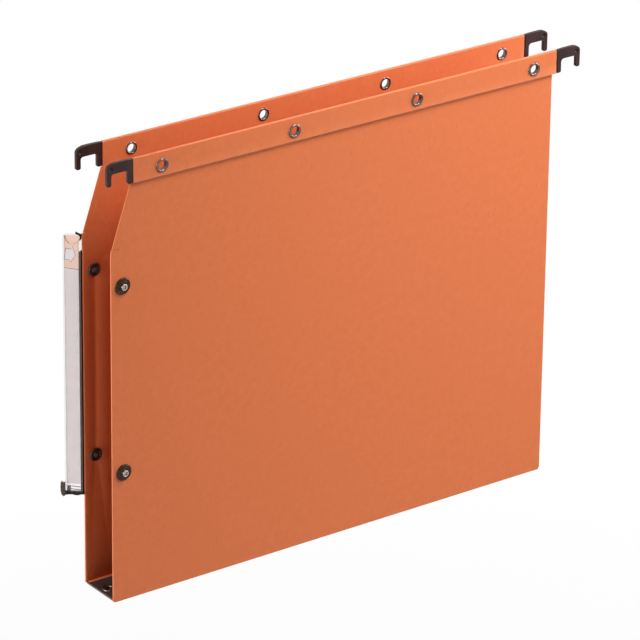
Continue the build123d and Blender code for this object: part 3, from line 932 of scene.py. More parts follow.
def card_sheet(name, flange_end_y):
    """The middle surface of the far side: flat part, hem fold and bottom fold out to a place on Y."""
    card, at = bpy.context.scene.folder_card, card_levels()
    corners = [(x, at["middle_y"], z) for x, z in card_outline()]
    obj = draw_chain(name, corners)
    fill_outline(obj, corners)
    bpy.ops.mesh.inset(thickness=card.edge_band, use_boundary=True, use_even_offset=True)
    for share in BOW_CUT_SHARES:
        for low, high, axis in ((FRONT_X, at["rear_x"], 0), (at["foot_z"], at["shoulder_z"], 2)):
            spot, normal = Vector(), Vector()
            spot[axis] = low + (high - low) * share
            normal[axis] = 1.0
            bpy.ops.mesh.select_all(action="SELECT")
            bpy.ops.mesh.bisect(plane_co=spot, plane_no=normal)
    pick(obj, lambda place: abs(place.z - at["fold_z"]) < PICK_GAP)
    bpy.ops.mesh.spin(steps=HEM_STEPS, angle=pi, center=(0, BAR_Y, at["fold_z"]), axis=(1, 0, 0))
    drops = (at["hem_z"] + card.flare_height - at["fold_z"], -card.flare_height)
    flares = (0.0, card.flare)
    pick(obj, lambda place: place.y > BAR_Y + PICK_GAP and abs(place.z - at["fold_z"]) < PICK_GAP)
    for drop, flare in zip(drops, flares):
        bpy.ops.mesh.extrude_region_move(TRANSFORM_OT_translate={"value": (0, flare, drop)})
    inner_y = at["middle_y"] - card.crease_radius
    pick(obj, lambda place: abs(place.z - at["foot_z"]) < PICK_GAP)
    bpy.ops.mesh.spin(steps=ROUND_STEPS, angle=pi / 2, center=(0, inner_y, at["foot_z"]), axis=(1, 0, 0))
    pick(obj, lambda place: abs(place.y - inner_y) < PICK_GAP and place.z < at["foot_z"] - PICK_GAP)
    bpy.ops.mesh.extrude_region_move(TRANSFORM_OT_translate={"value": (0, flange_end_y - inner_y, 0)})
    face_outwards(obj)
    return obj


def belly(obj):
    """Lets the middle of a far side stand a little outwards, as hanging card does."""
    card, at = bpy.context.scene.folder_card, card_levels()
    for vertex in obj.data.vertices:
        across = (vertex.co.x - FRONT_X) / (at["rear_x"] - FRONT_X)
        up = (vertex.co.z - at["foot_z"]) / (at["shoulder_z"] - at["foot_z"])
        if 0 < across < 1 and 0 < up < 1 and vertex.co.y < BAR_Y:
            vertex.co.y += card.bow * (sin(pi * across) * sin(pi * up)) ** 2


def post_holes(low_y, high_y, kind="post"):
    """Cutters for the press studs of the far side, at the height of their posts or sockets."""
    hole = bpy.context.scene.folder_metal.post_hole
    heights = [centre_of(f"far_{kind}_{level}").z for level in LEVELS]
    return [rod_along_y(hole, STUD_X, z, low_y, high_y) for z in heights]


def rivet_holes(low_z, high_z):
    """Cutters for the two rivets in the bottom."""
    metal = bpy.context.scene.folder_metal
    hole = metal.rivet_bore + metal.rivet_wall + metal.tube_clearance
    spots = [centre_of(f"base_rivet_{end}") for end in ENDS]
    return [rod_along_z(hole, spot.x, spot.y, low_z, high_z) for spot in spots]


def card_holes():
    """Cutters for the eyelets, the press studs and the slit at the knee of the far side."""
    scene = bpy.context.scene
    card, metal, at = scene.folder_card, scene.folder_metal, card_levels()
    across = (INNER_Y - CUT_OVERRUN, LEAF_Y + CUT_OVERRUN)
    hole = metal.eyelet_bore + metal.eyelet_wall + metal.tube_clearance
    spots = [centre_of(f"far_{name}") for name in EYELETS]
    cutters = [rod_along_y(hole, spot.x, spot.z, *across) for spot in spots]
    cutters += post_holes(*across)
    top = Vector((FRONT_X - CUT_OVERRUN, INNER_Y - CUT_OVERRUN, at["knee_z"] + card.slit_rise))
    corners = [
        top,
        top + Vector((card.slit_length + CUT_OVERRUN, 0, -card.slit_rise)),
        top + Vector((card.slit_length + CUT_OVERRUN, 0, -card.slit_rise - card.slit_width)),
        top + Vector((0, 0, -card.slit_width)),
    ]
    cutters.append(outline_solid("slit", corners, (0, across[1] - across[0], 0)))
    return cutters


def line_gap(point, first, second):
    """Distance of a point from the line through two others, all as x and z."""
    along = (Vector(second) - Vector(first)).normalized()
    offset = Vector(point) - Vector(first)
    return abs(offset.x * along.y - offset.y * along.x)


def card_wear(place):
    """How rubbed the far card is: along its cut edges and the hem's crown."""
    card, at = bpy.context.scene.folder_card, card_levels()
    point = (place.x, place.z)
    gaps = [card.edge_band]
    if place.y > BAR_Y and place.z > at["shoulder_z"]:
        gaps.append(place.z - at["hem_z"])
    if place.z < at["shoulder_z"] + card.edge_band:
        diagonal = ((FRONT_X, at["knee_z"]), (-HEM_END_X - card.shoulder_overhang, at["shoulder_z"]))
        gaps += [place.x - FRONT_X, at["rear_x"] - place.x, line_gap(point, *diagonal)]
    edge = 1 - min(gaps) / card.edge_band
    crown = (place.z - at["fold_z"]) / (HEM_TOP_Z - at["fold_z"]) * CROWN_WEAR
    return max(edge * EDGE_WEAR, crown)


class FOLDER_OT_cards(Operator):
    """Makes the two card sides with their hems, bottom folds and holes, and the gusset between them"""
    bl_idname = "folder.make_cards"
    bl_label = "Make the card"

    def execute(self, context):
        card, at = context.scene.folder_card, card_levels()
        material = kraft_card()
        gap_y = at["middle_y"] - card.crease_radius - card.flange
        for side in ("far", "near"):
            sheet = card_sheet("sheet", -gap_y + card.edge_round if side == "far" else gap_y)
            belly(sheet)
            apply_modifier(sheet, "SOLIDIFY", thickness=card.thickness, offset=0.0, use_even_offset=True)
            cut_away(sheet, card_holes())
            if side == "far":
                low, high = BASE_Z - CUT_OVERRUN, BASE_Z + CUT_OVERRUN
                cutters = rivet_holes(low, high)
                inside = at["middle_y"] - card.crease_radius
                for left, right in ((FRONT_X - CUT_OVERRUN, GUSSET_LOW.x), (GUSSET_HIGH.x, HEM_END_X)):
                    cutters.append(box_cutter((left, -INNER_Y, low), (right, inside, at["foot_z"])))
                cut_away(sheet, cutters)
            round_edges(sheet, card.edge_round, segments=2)
            set_wear_and_highlight(sheet, card_wear)
            obj = sheet
            if side == "near":
                obj = mirrored(sheet, "near_card", (1,))
                bpy.data.objects.remove(sheet)
            obj.name = f"{side}_card"
            obj.data.name = obj.name
            shade(obj)
            apply_modifier(obj, "WEIGHTED_NORMAL", keep_sharp=True)
            nodes = [f"{side}_panel_card"]
            if side == "far":
                nodes.append("gusset_card")
            dress(obj, material, nodes)
            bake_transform(obj)
        return {"FINISHED"}


class FOLDER_OT_front_folds(Operator):
    """Makes the flap that is folded back inside each front edge, with its round nose"""
    bl_idname = "folder.make_front_folds"
    bl_label = "Make the front folds"

    def execute(self, context):
        card, at = context.scene.folder_card, card_levels()
        material = bpy.data.materials["orange_kraft"]
        outer_y = INNER_Y + card.thickness
        radius = (outer_y - STRIP_LOW.y) / 2
        nose = arc((FRONT_X, STRIP_LOW.y + radius), (radius, radius), 90, 270, 2 * ROUND_STEPS)
        band_x, end_x = FRONT_X + card.edge_band, STRIP_HIGH.x
        outline = [(end_x, INNER_Y), (band_x, INNER_Y), (FRONT_X, INNER_Y)] + nose
        outline += [(band_x, STRIP_LOW.y), (end_x - card.flap_edge, STRIP_LOW.y)]
        outline += [(end_x, INNER_Y - card.edge_round)]
        low_z = at["foot_z"] + card.bottom_corner
        corners = [(x, y, low_z) for x, y in outline]
        far = outline_solid("far_front_fold", corners, (0, 0, at["knee_z"] - low_z))
        for vertex in far.data.vertices:
            if vertex.co.z > at["knee_z"] - PICK_GAP and vertex.co.y < INNER_Y:
                vertex.co.z -= card.flap_taper * (INNER_Y - vertex.co.y) / (INNER_Y - STRIP_LOW.y)
        cut_away(far, post_holes(INNER_Y - CUT_OVERRUN, INNER_Y + CUT_OVERRUN))
        round_edges(far, card.edge_round, segments=2)
        shade(far)
        near = mirrored(far, "near_front_fold", (1,))
        set_wear_and_highlight(near, lambda place: EDGE_WEAR * (1 - (place.x - FRONT_X) / card.edge_band))
        shade(near)
        for side, obj in (("far", far), ("near", near)):
            dress(obj, material, [f"{side}_edge_strip"])
            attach(obj, f"{side}_side")
        return {"FINISHED"}


class FOLDER_OT_bottom_plate(Operator):
    """Makes the dark board in the folder's bottom"""
    bl_idname = "folder.make_bottom_plate"
    bl_label = "Make the bottom plate"

    def execute(self, context):
        card = context.scene.folder_card
        corner = card.plate_corner
        outline = rounded([
            ((PLATE_LOW.x, PLATE_LOW.y), corner),
            ((PLATE_HIGH.x, PLATE_LOW.y), corner),
            ((PLATE_HIGH.x, PLATE_HIGH.y), corner),
            ((PLATE_LOW.x, PLATE_HIGH.y), corner),
        ])
        corners = [(x, y, PLATE_LOW.z) for x, y in outline]
        obj = outline_solid("bottom_plate", corners, (0, 0, PLATE_HIGH.z - PLATE_LOW.z))
        cut_away(obj, rivet_holes(PLATE_LOW.z - CUT_OVERRUN, PLATE_HIGH.z + CUT_OVERRUN))
        round_edges(obj, PLATE_ROUND, segments=4)

        # Painted highlight: lighter towards the plate's rounded front and rear ends
        def rubbed(place):
            ends = min(place.x - PLATE_LOW.x, PLATE_HIGH.x - place.x)
            return 1 - ends / (2 * PLATE_ROUND)

        set_wear_and_highlight(obj, rubbed)
        shade(obj)
        apply_modifier(obj, "WEIGHTED_NORMAL", keep_sharp=True)
        dress(obj, pressed_board(), ["bottom_stiffener"])
        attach(obj, "base")
        return {"FINISHED"}


class FOLDER_OT_crease_bead(Operator):
    """Makes the rounded fold between the bottom plate and the far side"""
    bl_idname = "folder.make_crease_bead"
    bl_label = "Make the crease bead"

    def execute(self, context):
        card = context.scene.folder_card
        middle_y = STRIP_LOW.y - card.bead_gap - card.bead_radius
        half_round = arc((middle_y, PLATE_HIGH.z), (card.bead_radius, card.bead_radius), 0, 180)
        corners = [(PLATE_LOW.x + card.plate_corner, y, z) for y, z in half_round]
        run = PLATE_HIGH.x - PLATE_LOW.x - 2 * card.plate_corner
        bead = outline_solid("far_crease_fold", corners, (run, 0, 0))
        round_edges(bead, FINE_ROUND, segments=2)
        # The whole bead takes the card's worn tone as a painted highlight
        set_wear_and_highlight(bead, lambda place: BEAD_HIGHLIGHT)
        shade(bead)
        bead.data.materials.append(bpy.data.materials["orange_kraft"])
        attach(bead, "base")
        return {"FINISHED"}


# Bars and hooks
class FOLDER_OT_bars(Operator):
    """Gives the steel bars in the hems and the sockets' springs their finish"""
    bl_idname = "folder.finish_bars"
    bl_label = "Finish the bars"

    def execute(self, context):
        steel = rolled_steel()
        kept = ["near_suspension_bar", "far_suspension_bar"]
        kept += [f"far_socket_spring_{level}" for level in LEVELS]
        for name in kept:
            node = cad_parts[name]
            node.data.materials.clear()
            node.data.materials.append(steel)
        return {"FINISHED"}


def hook_outline(hook):
    """The rear hook's outline as x and z: arched top, prong, slot for the rail and leg."""
    root, tip = HOOK_LOW.x, HOOK_HIGH.x
    foot, top = HOOK_LOW.z, HOOK_HIGH.z
    slot_in, slot_out = root + hook.inner_leg, tip - hook.prong
    crest = [((root + (tip - root) * share, top - hook.crown * drop), 0) for share, drop in CROWN_SHARES]
    bend = (tip - hook.shoulder_length, top - hook.shoulder_drop)
    shoulder = arc(bend, (hook.shoulder_length, hook.shoulder_drop), 90, 0, 2 * ROUND_STEPS)
    return rounded(
        [((root, foot), 0), ((root, top - hook.crown), 0)] + crest + [(spot, 0) for spot in shoulder] + [
            ((tip, foot + hook.prong_rise), hook.tip_radius),
            ((slot_out, foot + hook.prong_rise), hook.tip_radius),
            ((slot_out, 0.0), hook.slot_outer_radius),
            ((slot_in, 0.0), hook.slot_inner_radius),
            ((slot_in, foot), hook.tip_radius),
        ]
    )


class FOLDER_OT_hooks(Operator):
    """Makes the four plastic hooks on the bar ends"""
    bl_idname = "folder.make_hooks"
    bl_label = "Make the hooks"

    def execute(self, context):
        hook = context.scene.folder_hook
        corners = [(x, HOOK_LOW.y, z) for x, z in hook_outline(hook)]
        rear = outline_solid("far_rear_hook_shell", corners, (0, HOOK_HIGH.y - HOOK_LOW.y, 0))
        round_edges(rear, hook.edge_radius, segments=4)
        dimple_x = HOOK_HIGH.x - hook.dimple_inset
        dimple_z = HOOK_HIGH.z - hook.dimple_drop
        cutters = []
        for face_y, inward in ((HOOK_LOW.y, 1), (HOOK_HIGH.y, -1)):
            bowl = arc((0.0, 0.0), (hook.dimple_radius, hook.dimple_depth), 90, 0)
            bowl += [(hook.dimple_radius, -CUT_OVERRUN), (0.0, -CUT_OVERRUN)]
            centre = (dimple_x, face_y, dimple_z)
            cutters.append(spun_solid("dimple", bowl, centre, (0, inward, 0), (1, 0, 0)))
            low, high = sorted((face_y - inward * CUT_OVERRUN, face_y + inward * hook.neck_step))
            cutters.append(box_cutter(
                (HOOK_LOW.x - CUT_OVERRUN, low, HOOK_LOW.z - CUT_OVERRUN),
                (HOOK_LOW.x + hook.neck_length, high, HOOK_HIGH.z + CUT_OVERRUN),
            ))
        bar_low, bar_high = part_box("far_suspension_bar")
        tang_z, tang_half = HOOK_HIGH.z / 2, hook.tang_height / 2 + hook.tang_gap
        cutters.append(box_cutter(
            (HOOK_LOW.x - CUT_OVERRUN, bar_low.y - hook.tang_gap, tang_z - tang_half),
            (bar_high.x + hook.tang_gap, bar_high.y + hook.tang_gap, tang_z + tang_half),
        ))
        cut_away(rear, cutters)
        round_edges(rear, FINE_ROUND, segments=2, degrees=HOOK_SHARP_DEGREES)
        material = moulded_plastic("moulded_hook", context.scene.folder_colours.hook, gloss=0.27)
        twins = {
            "far_rear": rear,
            "far_front": mirrored(rear, "far_front_hook_shell", (0,)),
            "near_rear": mirrored(rear, "near_rear_hook_shell", (1,)),
            "near_front": mirrored(rear, "near_front_hook_shell", (0, 1)),
        }
        for corner, obj in twins.items():
            shade(obj)
            apply_modifier(obj, "WEIGHTED_NORMAL", keep_sharp=True)
            dress(obj, material, [f"{corner}_hook"])
            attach(obj, f"{corner.split('_')[0]}_side")
        return {"FINISHED"}


# Eyelets, press studs and rivets
def rolled_ring(bore, wall, flange, height, lip, seat, foot):
    """Profile of a flanged tube as radius and height: rolled flange on top, smaller lip at the foot."""
    half = (flange - bore) / 2
    top = arc((bore + half, seat), (half, height), 180, 0, 2 * ROUND_STEPS)
    half *= LIP_SHARE
    bottom = arc((bore + half, foot), (half, lip), 0, -180, 2 * ROUND_STEPS)
    tube = bore + wall
    return top + [(tube, seat), (tube, foot)] + bottom + [top[0]]


class FOLDER_OT_eyelets(Operator):
    """Makes the nickel eyelets in both hems"""
    bl_idname = "folder.make_eyelets"
    bl_label = "Make the eyelets"

    def execute(self, context):
        metal = context.scene.folder_metal
        low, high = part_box("far_eyelet_1")
        flange = (high.x - low.x) / 2 * FLANGE_SHARE
        middle = centre_of("far_eyelet_1")
        height = (high.y - LEAF_Y) * FLANGE_SHARE
        profile = rolled_ring(
            metal.eyelet_bore, metal.eyelet_wall, flange, height, metal.eyelet_lip, LEAF_Y, INNER_Y,
        )
        first = spun_solid("eyelet", profile, (middle.x, 0, middle.z), (0, 1, 0), (1, 0, 0))
        shade(first)
        nickel = context.scene.folder_colours.nickel
        material = plated_metal("nickel_plate", nickel, gloss=0.18, tarnish=0.5)
        for side, axes in (("far", ()), ("near", (1,))):
            for name in EYELETS:
                step = centre_of(f"far_{name}") - middle
                obj = moved(first, f"{side}_{name}_ring", (step.x, 0, step.z))
                if axes:
                    twin = mirrored(obj, f"{side}_{name}_roll", axes)
                    bpy.data.objects.remove(obj)
                    obj = twin
                shade(obj)
                dress(obj, material, [f"{side}_{name}"])
                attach(obj, f"{side}_side")
        bpy.data.objects.remove(first)
        return {"FINISHED"}


def stud_profile(shares, radius, height):
    """A press stud's profile, closed on its axis at both ends."""
    return [(0.0, 0.0)] + [(across * radius, up * height) for across, up in shares]


class FOLDER_OT_press_studs(Operator):
    """Makes the press studs: nubs on the near side, sockets on the far side and caps inside both"""
    bl_idname = "folder.make_press_studs"
    bl_label = "Make the press studs"

    def execute(self, context):
        colours = context.scene.folder_colours
        bronze = plated_metal("bronze_plate", colours.bronze, gloss=0.12, tarnish=0.6)
        black = black_enamel()
        kinds = (
            ("near", "stud", STUD_SHARES, -1, bronze),
            ("far", "socket", SOCKET_SHARES, 1, bronze),
            ("near", "post", CAP_SHARES, 1, black),
            ("far", "post", CAP_SHARES, -1, black),
        )
        for side, kind, shares, outward, material in kinds:
            for level in LEVELS:
                node = f"{side}_{kind}_{level}"
                low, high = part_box(node)
                seat = low.y if outward > 0 else high.y
                if kind == "post":
                    seat = outward * -STRIP_LOW.y
                end = high.y if outward > 0 else low.y
                profile = stud_profile(shares, (high.x - low.x) / 2, abs(end - seat))
                middle = centre_of(node)
                foot = (middle.x, seat, middle.z)
                obj = spun_solid(f"{node}_head", profile, foot, (0, outward, 0), (1, 0, 0))
                shade(obj, STUD_SMOOTH_DEGREES)
                # Painted glint round each head's tip; on the black caps it is a painted highlight on the
                # dome
                tip = Vector((middle.x, end, middle.z))
                reach = STUD_GLINT_SHARE * (high.x - low.x) / 2
                set_wear_and_highlight(obj, lambda place: 2 * STUD_GLINT * (1 - (place - tip).length / reach))
                dress(obj, material, [node])
                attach(obj, f"{side}_side")
        return {"FINISHED"}


class FOLDER_OT_base_rivets(Operator):
    """Makes the cup rivets that hold the bottom plate to the gusset"""
    bl_idname = "folder.make_base_rivets"
    bl_label = "Make the base rivets"

    def execute(self, context):
        metal = context.scene.folder_metal
        colour = context.scene.folder_colours.rivet
        material = plated_metal("rivet_plate", colour, gloss=0.3, tarnish=0.5)
        for end in ENDS:
            node = f"base_rivet_{end}"
            low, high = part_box(node)
            middle = centre_of(node)
            ring = rolled_ring(
                metal.rivet_bore, metal.rivet_wall, (high.x - low.x) / 2,
                high.z - PLATE_HIGH.z, metal.rivet_lip, PLATE_HIGH.z, BASE_Z,
            )
            cup_z = BASE_Z + metal.rivet_wall
            profile = [(0.0, cup_z), (metal.rivet_bore, cup_z)] + ring[:-1] + [(0.0, BASE_Z)]
            obj = spun_solid(f"{node}_ring", profile, (middle.x, middle.y, 0), (0, 0, 1), (1, 0, 0))
            shade(obj)
            dress(obj, material, [node])
            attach(obj, "base")
        return {"FINISHED"}


# Shapes of the label holder
def holder_point(across, out, z):
    """A place in the label holder: across its width from the card's edge, out of its face, and up."""
    label, card = bpy.context.scene.folder_label, bpy.context.scene.folder_card
    side, face = cos(label.angle), sin(label.angle)
    x = FRONT_X - across * side - out * face
    y = INNER_Y + card.thickness + across * face - out * side
    return Vector((x, y, z))


def holder_solid(name, outline, low, high):
    """A solid drawn across and up in the label holder, and extruded out of its face."""
    corners = [holder_point(across, low, z) for across, z in outline]
    return outline_solid(name, corners, holder_point(0, high, 0) - holder_point(0, low, 0))


def oblong(left, right, low, high):
    """Corners of a rectangle."""
    return [(left, low), (right, low), (right, high), (left, high)]


def label_span():
    """Heights of the label rail's lower and upper end."""
    label, at = bpy.context.scene.folder_label, card_levels()
    return RAIL_LOW.z + label.ear_drop, at["knee_z"]


def lip_level():
    """How far out of the holder's face the ridge's lip lies, over the label and its sleeve."""
    label = bpy.context.scene.folder_label
    return label.paper + 2 * label.paper_gap + label.wall + label.clearance


def rail_leaf(low_z, high_z):
    """The rail's leaf behind the card, with a round knuckle that is cut back above the ridge."""
    label, card = bpy.context.scene.folder_label, bpy.context.scene.folder_card
    outer_y = INNER_Y + card.thickness
    back_y, end_x = outer_y + label.plate, FRONT_X + label.leaf_width
    outline = [(end_x, outer_y), (end_x, back_y), (FRONT_X, back_y), (FRONT_X - label.plate, back_y)]
    outline += arc((FRONT_X, outer_y), (label.plate, label.plate), 180, 270) + [(FRONT_X, outer_y)]
    leaf = outline_solid("rail", [(x, y, low_z) for x, y in outline], (0, 0, high_z - low_z))
    reach, shoulder = label.plate + CUT_OVERRUN, high_z - label.ridge_drop
    above = (FRONT_X, back_y + CUT_OVERRUN, high_z + CUT_OVERRUN)
    cutters = [box_cutter((FRONT_X - reach, outer_y - reach, shoulder), above)]
    cutters += post_holes(outer_y - CUT_OVERRUN, outer_y + CUT_OVERRUN, "socket")
    cut_away(leaf, cutters)
    return leaf


def rail_ridge(low_z, high_z):
    """The rail's ridge beside the card's edge, with a groove at its foot and a lip over the sleeve."""
    label, lip = bpy.context.scene.folder_label, lip_level()
    profile = [
        (0.0, -label.plate), (label.ridge_width, -label.plate), (label.ridge_width, lip),
        (label.lip_width, lip), (label.lip_width, label.ridge_height),
        (label.groove_width, label.ridge_height), (label.groove_width, label.groove_height),
        (0.0, label.groove_height),
    ]
    corners = [holder_point(across, out, low_z) for across, out in profile]
    return outline_solid("ridge", corners, (0, 0, high_z - low_z))


def rail_ends(low_z, high_z):
    """The rail's end pieces: the eared cap below, and the slanted lug with its tooth above."""
    label = bpy.context.scene.folder_label
    left, foot = label.width + label.clearance, low_z - label.ear_drop
    ear = [(left + across * label.ear_width, foot + up * label.ear_height) for across, up in EAR_SHARES]
    cap = [(0.0, low_z + label.cap), (left, low_z + label.cap)]
    cap += [(across * left, low_z - drop * label.ear_drop) for across, drop in CAP_EDGE_SHARES]
    lug_top = high_z + label.lug_rise
    lug = [(0.0, lug_top - label.lug_fall), (label.lug_length, lug_top)]
    lug += [(across, top - label.lug_thickness) for across, top in reversed(lug)]
    tooth_top = lug_top - label.lug_fall
    reach, height = label.tooth_width, label.tooth_height
    tooth = [(across * reach, tooth_top - drop * height) for across, drop in TOOTH_SHARES]
    return [
        holder_solid("cap", cap, -label.plate, label.cap_depth),
        holder_solid("ear", ear, -label.plate, label.cap_depth),
        holder_solid("lug", lug, -label.plate, 0.0),
        holder_solid("tooth", tooth, -label.plate, 0.0),
    ]


def label_stops(low_z):
    """The stop block under the label and the two thin slanted bars beside it."""
    label = bpy.context.scene.folder_label
    left = label.ridge_width + label.clearance + label.wall
    right = label.width - label.wall - label.stop_inset
    out, foot = label.paper + label.paper_gap, low_z + label.cap
    block = oblong(right - label.stop_width, right, low_z, foot + BLOCK_SHARE * label.stop_height)
    pieces = [holder_solid("stop", block, label.clearance, out)]
    for share in STOP_BAR_SHARES:
        level = foot + share * label.stop_height
        bar = [(left, level), (right, level + label.bar_fall)]
        bar += [(across, z + label.bar_height) for across, z in reversed(bar)]
        pieces.append(holder_solid("stop_bar", bar, label.clearance, out))
    return pieces


class FOLDER_OT_label_rail(Operator):
    """Makes the dark rail that holds the label sleeve, with its eared end cap and stops"""
    bl_idname = "folder.make_label_rail"
    bl_label = "Make the label rail"

    def execute(self, context):
        label, colours = context.scene.folder_label, context.scene.folder_colours
        low_z, high_z = label_span()
        pieces = [rail_leaf(low_z, high_z), rail_ridge(low_z, high_z - label.ridge_drop)]
        pieces += rail_ends(low_z, high_z)
        pieces += label_stops(low_z)
        obj = joined("label_rail", pieces)
        round_edges(obj, PART_ROUND)
        shade(obj)
        apply_modifier(obj, "WEIGHTED_NORMAL", keep_sharp=True)
        plastic = moulded_plastic("extruded_rail", colours.holder, gloss=0.3)
        dress(obj, plastic, ["label_base"])
        obj.data.materials.append(moulded_plastic("shaded_rail", colours.holder_painted_shade, gloss=0.4))
        # Painted shade: only the ridge's raised faces and the ear keep the holder tone; the groove,
        # leaf, cap, lug, tooth and stops take the dark copy
        origin = holder_point(0, 0, 0)
        along, out = holder_point(1, 0, 0) - origin, holder_point(0, 1, 0) - origin
        lip, ear = lip_level() - PICK_GAP, label.width + label.clearance
        for face in obj.data.polygons:
            offset = face.center - origin
            raised = offset.dot(out) > lip and face.center.z > low_z + label.cap
            face.material_index = 0 if raised or offset.dot(along) > ear else 1
        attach(obj, "far_side")
        return {"FINISHED"}


class FOLDER_OT_label_sleeve(Operator):
    """Makes the clear sleeve round the label, with its thumb notch"""
    bl_idname = "folder.make_label_sleeve"
    bl_label = "Make the label sleeve"

    def execute(self, context):
        label = context.scene.folder_label
        left, right = label.ridge_width + label.clearance, label.width
        low_z, high_z = SLEEVE_LOW.z, SLEEVE_HIGH.z
        gap = label.paper + 2 * label.paper_gap
        outline = rounded([
            ((left, low_z), 0), ((right, low_z), 0),
            ((right, high_z), label.corner), ((left, high_z), label.corner),
        ])
        obj = holder_solid("label_sleeve", outline, -label.wall, gap + label.wall)
        foot, above = low_z - CUT_OVERRUN, high_z + CUT_OVERRUN
        channel = oblong(left + label.wall, right - label.wall, foot, above)
        cut_away(obj, [holder_solid("channel", channel, 0.0, gap)])
        middle, radius = (left + right) / 2, label.notch_radius
        notch = arc((middle, high_z - label.notch_drop), (radius, radius), 180, 360, 2 * HEM_STEPS)
        notch += [(middle + radius, above), (middle - radius, above)]
        cut_away(obj, [holder_solid("notch", notch, label.paper + label.paper_gap, gap + CUT_OVERRUN)])
        round_edges(obj, PART_ROUND)
        shade(obj)
        apply_modifier(obj, "WEIGHTED_NORMAL", keep_sharp=True)
        colours = context.scene.folder_colours
        clear = clear_sleeve("clear_sleeve", colours.clear, alpha=0.1)
        dress(obj, clear, ["label_window"])
        obj.data.materials.append(clear_sleeve("clear_edges", colours.clear_edge, alpha=0.8))
        out = (holder_point(0, 1, 0) - holder_point(0, 0, 0)).normalized()
        for face in obj.data.polygons:
            face.material_index = 0 if abs(face.normal.dot(out)) > SLEEVE_FACING else 1
        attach(obj, "far_side")
        return {"FINISHED"}


def arrow_outline(middle, size, slant):
    """A plain block arrow that points towards the card, turned by the label's slant."""
    points = []
    for along, up in ARROW_SHARES:
        ahead, rise = along * size[0], up * size[1]
        across = middle[0] - ahead * cos(slant) - rise * sin(slant)
        points.append((across, middle[1] + rise * cos(slant) - ahead * sin(slant)))
    return points


class FOLDER_OT_index_label(Operator):
    """Makes the paper label with its tinted head and plain arrow"""
    bl_idname = "folder.make_index_label"
    bl_label = "Make the index label"

    def execute(self, context):
        label, colours = context.scene.folder_label, context.scene.folder_colours
        inset = label.wall + label.paper_gap
        left = label.ridge_width + label.clearance + inset
        right = label.width - inset
        outline = rounded([
            ((left, LABEL_LOW.z), label.paper_corner), ((right, LABEL_LOW.z), label.paper_corner),
            ((right, LABEL_HIGH.z), label.paper_corner), ((left, LABEL_HIGH.z), label.paper_corner),
        ])
        front = label.paper_gap + label.paper
        paper = holder_solid("index_paper", outline, label.paper_gap, front)
        shade(paper)
        dress(paper, printed_paper(), ["index_label"])
        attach(paper, "index_label")
        middle = ((left + right) / 2 + label.arrow_aside, LABEL_HIGH.z - label.arrow_drop)
        relief = label.print_relief
        prints = (
            ("arrow_border", 1.0, relief, colours.ink),
            ("arrow_face", ARROW_FACE_SHARE, 2 * relief, colours.paper),
        )
        for name, share, height, colour in prints:
            size = (label.arrow_length * share, label.arrow_height * share)
            outline = arrow_outline(middle, size, label.head_slant)
            obj = holder_solid(name, outline, front - relief, front + height)
            shade(obj)
            obj.data.materials.append(flat_print(name, colour))
            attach(obj, "index_label")
        return {"FINISHED"}


# Stage
def camera_axes(stage):
    """The camera's right, up and backward directions."""
    turned, raised = stage.azimuth, stage.elevation
    back = Vector((sin(turned) * cos(raised), -cos(turned) * cos(raised), sin(raised)))
    right = Vector((0, 0, 1)).cross(back).normalized()
    up = back.cross(right)
    rolled_right = right * cos(stage.roll) + up * sin(stage.roll)
    rolled_up = up * cos(stage.roll) - right * sin(stage.roll)
    return rolled_right, rolled_up, back


def aim(obj, place, target):
    """Puts a lamp at a place, facing a target."""
    obj.location = place
    obj.rotation_euler = (Vector(target) - Vector(place)).to_track_quat("-Z", "Y").to_euler()


def lamp(name, power, size, place, target, beam=pi):
    """A large square lamp with a beam of a given width."""
    select_only()
    bpy.ops.object.light_add(type="AREA")
    obj = bpy.context.object
    obj.name = name
    obj.data.energy = power
    obj.data.size = size
    obj.data.spread = beam
    aim(obj, place, target)


def seen_directly(owner):
    """A value of 1 for rays that show the background: camera, mirror and glass rays."""
    rays = add_node(owner, "ShaderNodeLightPath", {}).outputs
    bent = compute(owner, "MAXIMUM", rays["Is Glossy Ray"], rays["Is Transmission Ray"])
    return compute(owner, "MAXIMUM", rays["Is Camera Ray"], bent)


def pale_floor():
    """Pale floor that fades to plain white away from the folder and keeps its shadow near it."""
    material, shader = blank_material("pale_floor")
    here = add_node(material, "ShaderNodeTexCoord", {}).outputs["Object"]
    reach = add_node(material, "ShaderNodeVectorMath", {0: here}, operation="LENGTH")
    white = spread(material, reach.outputs["Value"], FLOOR_NEAR, FLOOR_FAR, FLOOR_MIN_WHITE, 1.0)
    glow = compute(material, "MULTIPLY", white, seen_directly(material))
    finish(material, shader, Base_Color=FLOOR_TONE, Roughness=0.9, Specular_IOR_Level=0.1)
    light = add_node(material, "ShaderNodeEmission", {"Color": WHITE, "Strength": 1.0})
    blend = add_node(
        material, "ShaderNodeMixShader",
        {0: glow, 1: shader.outputs["BSDF"], 2: light.outputs["Emission"]},
    )
    output = next(node for node in material.node_tree.nodes if node.type == "OUTPUT_MATERIAL")
    material.node_tree.links.new(blend.outputs["Shader"], output.inputs["Surface"])
    return material


def make_floor(middle):
    """The floor below the folder."""
    select_only()
    place = (middle.x, middle.y, CAD_LOW.z - FLOOR_DROP)
    bpy.ops.mesh.primitive_plane_add(size=FLOOR_SIZE, location=place)
    floor = bpy.context.object
    floor.name = "floor"
    floor.data.materials.append(pale_floor())


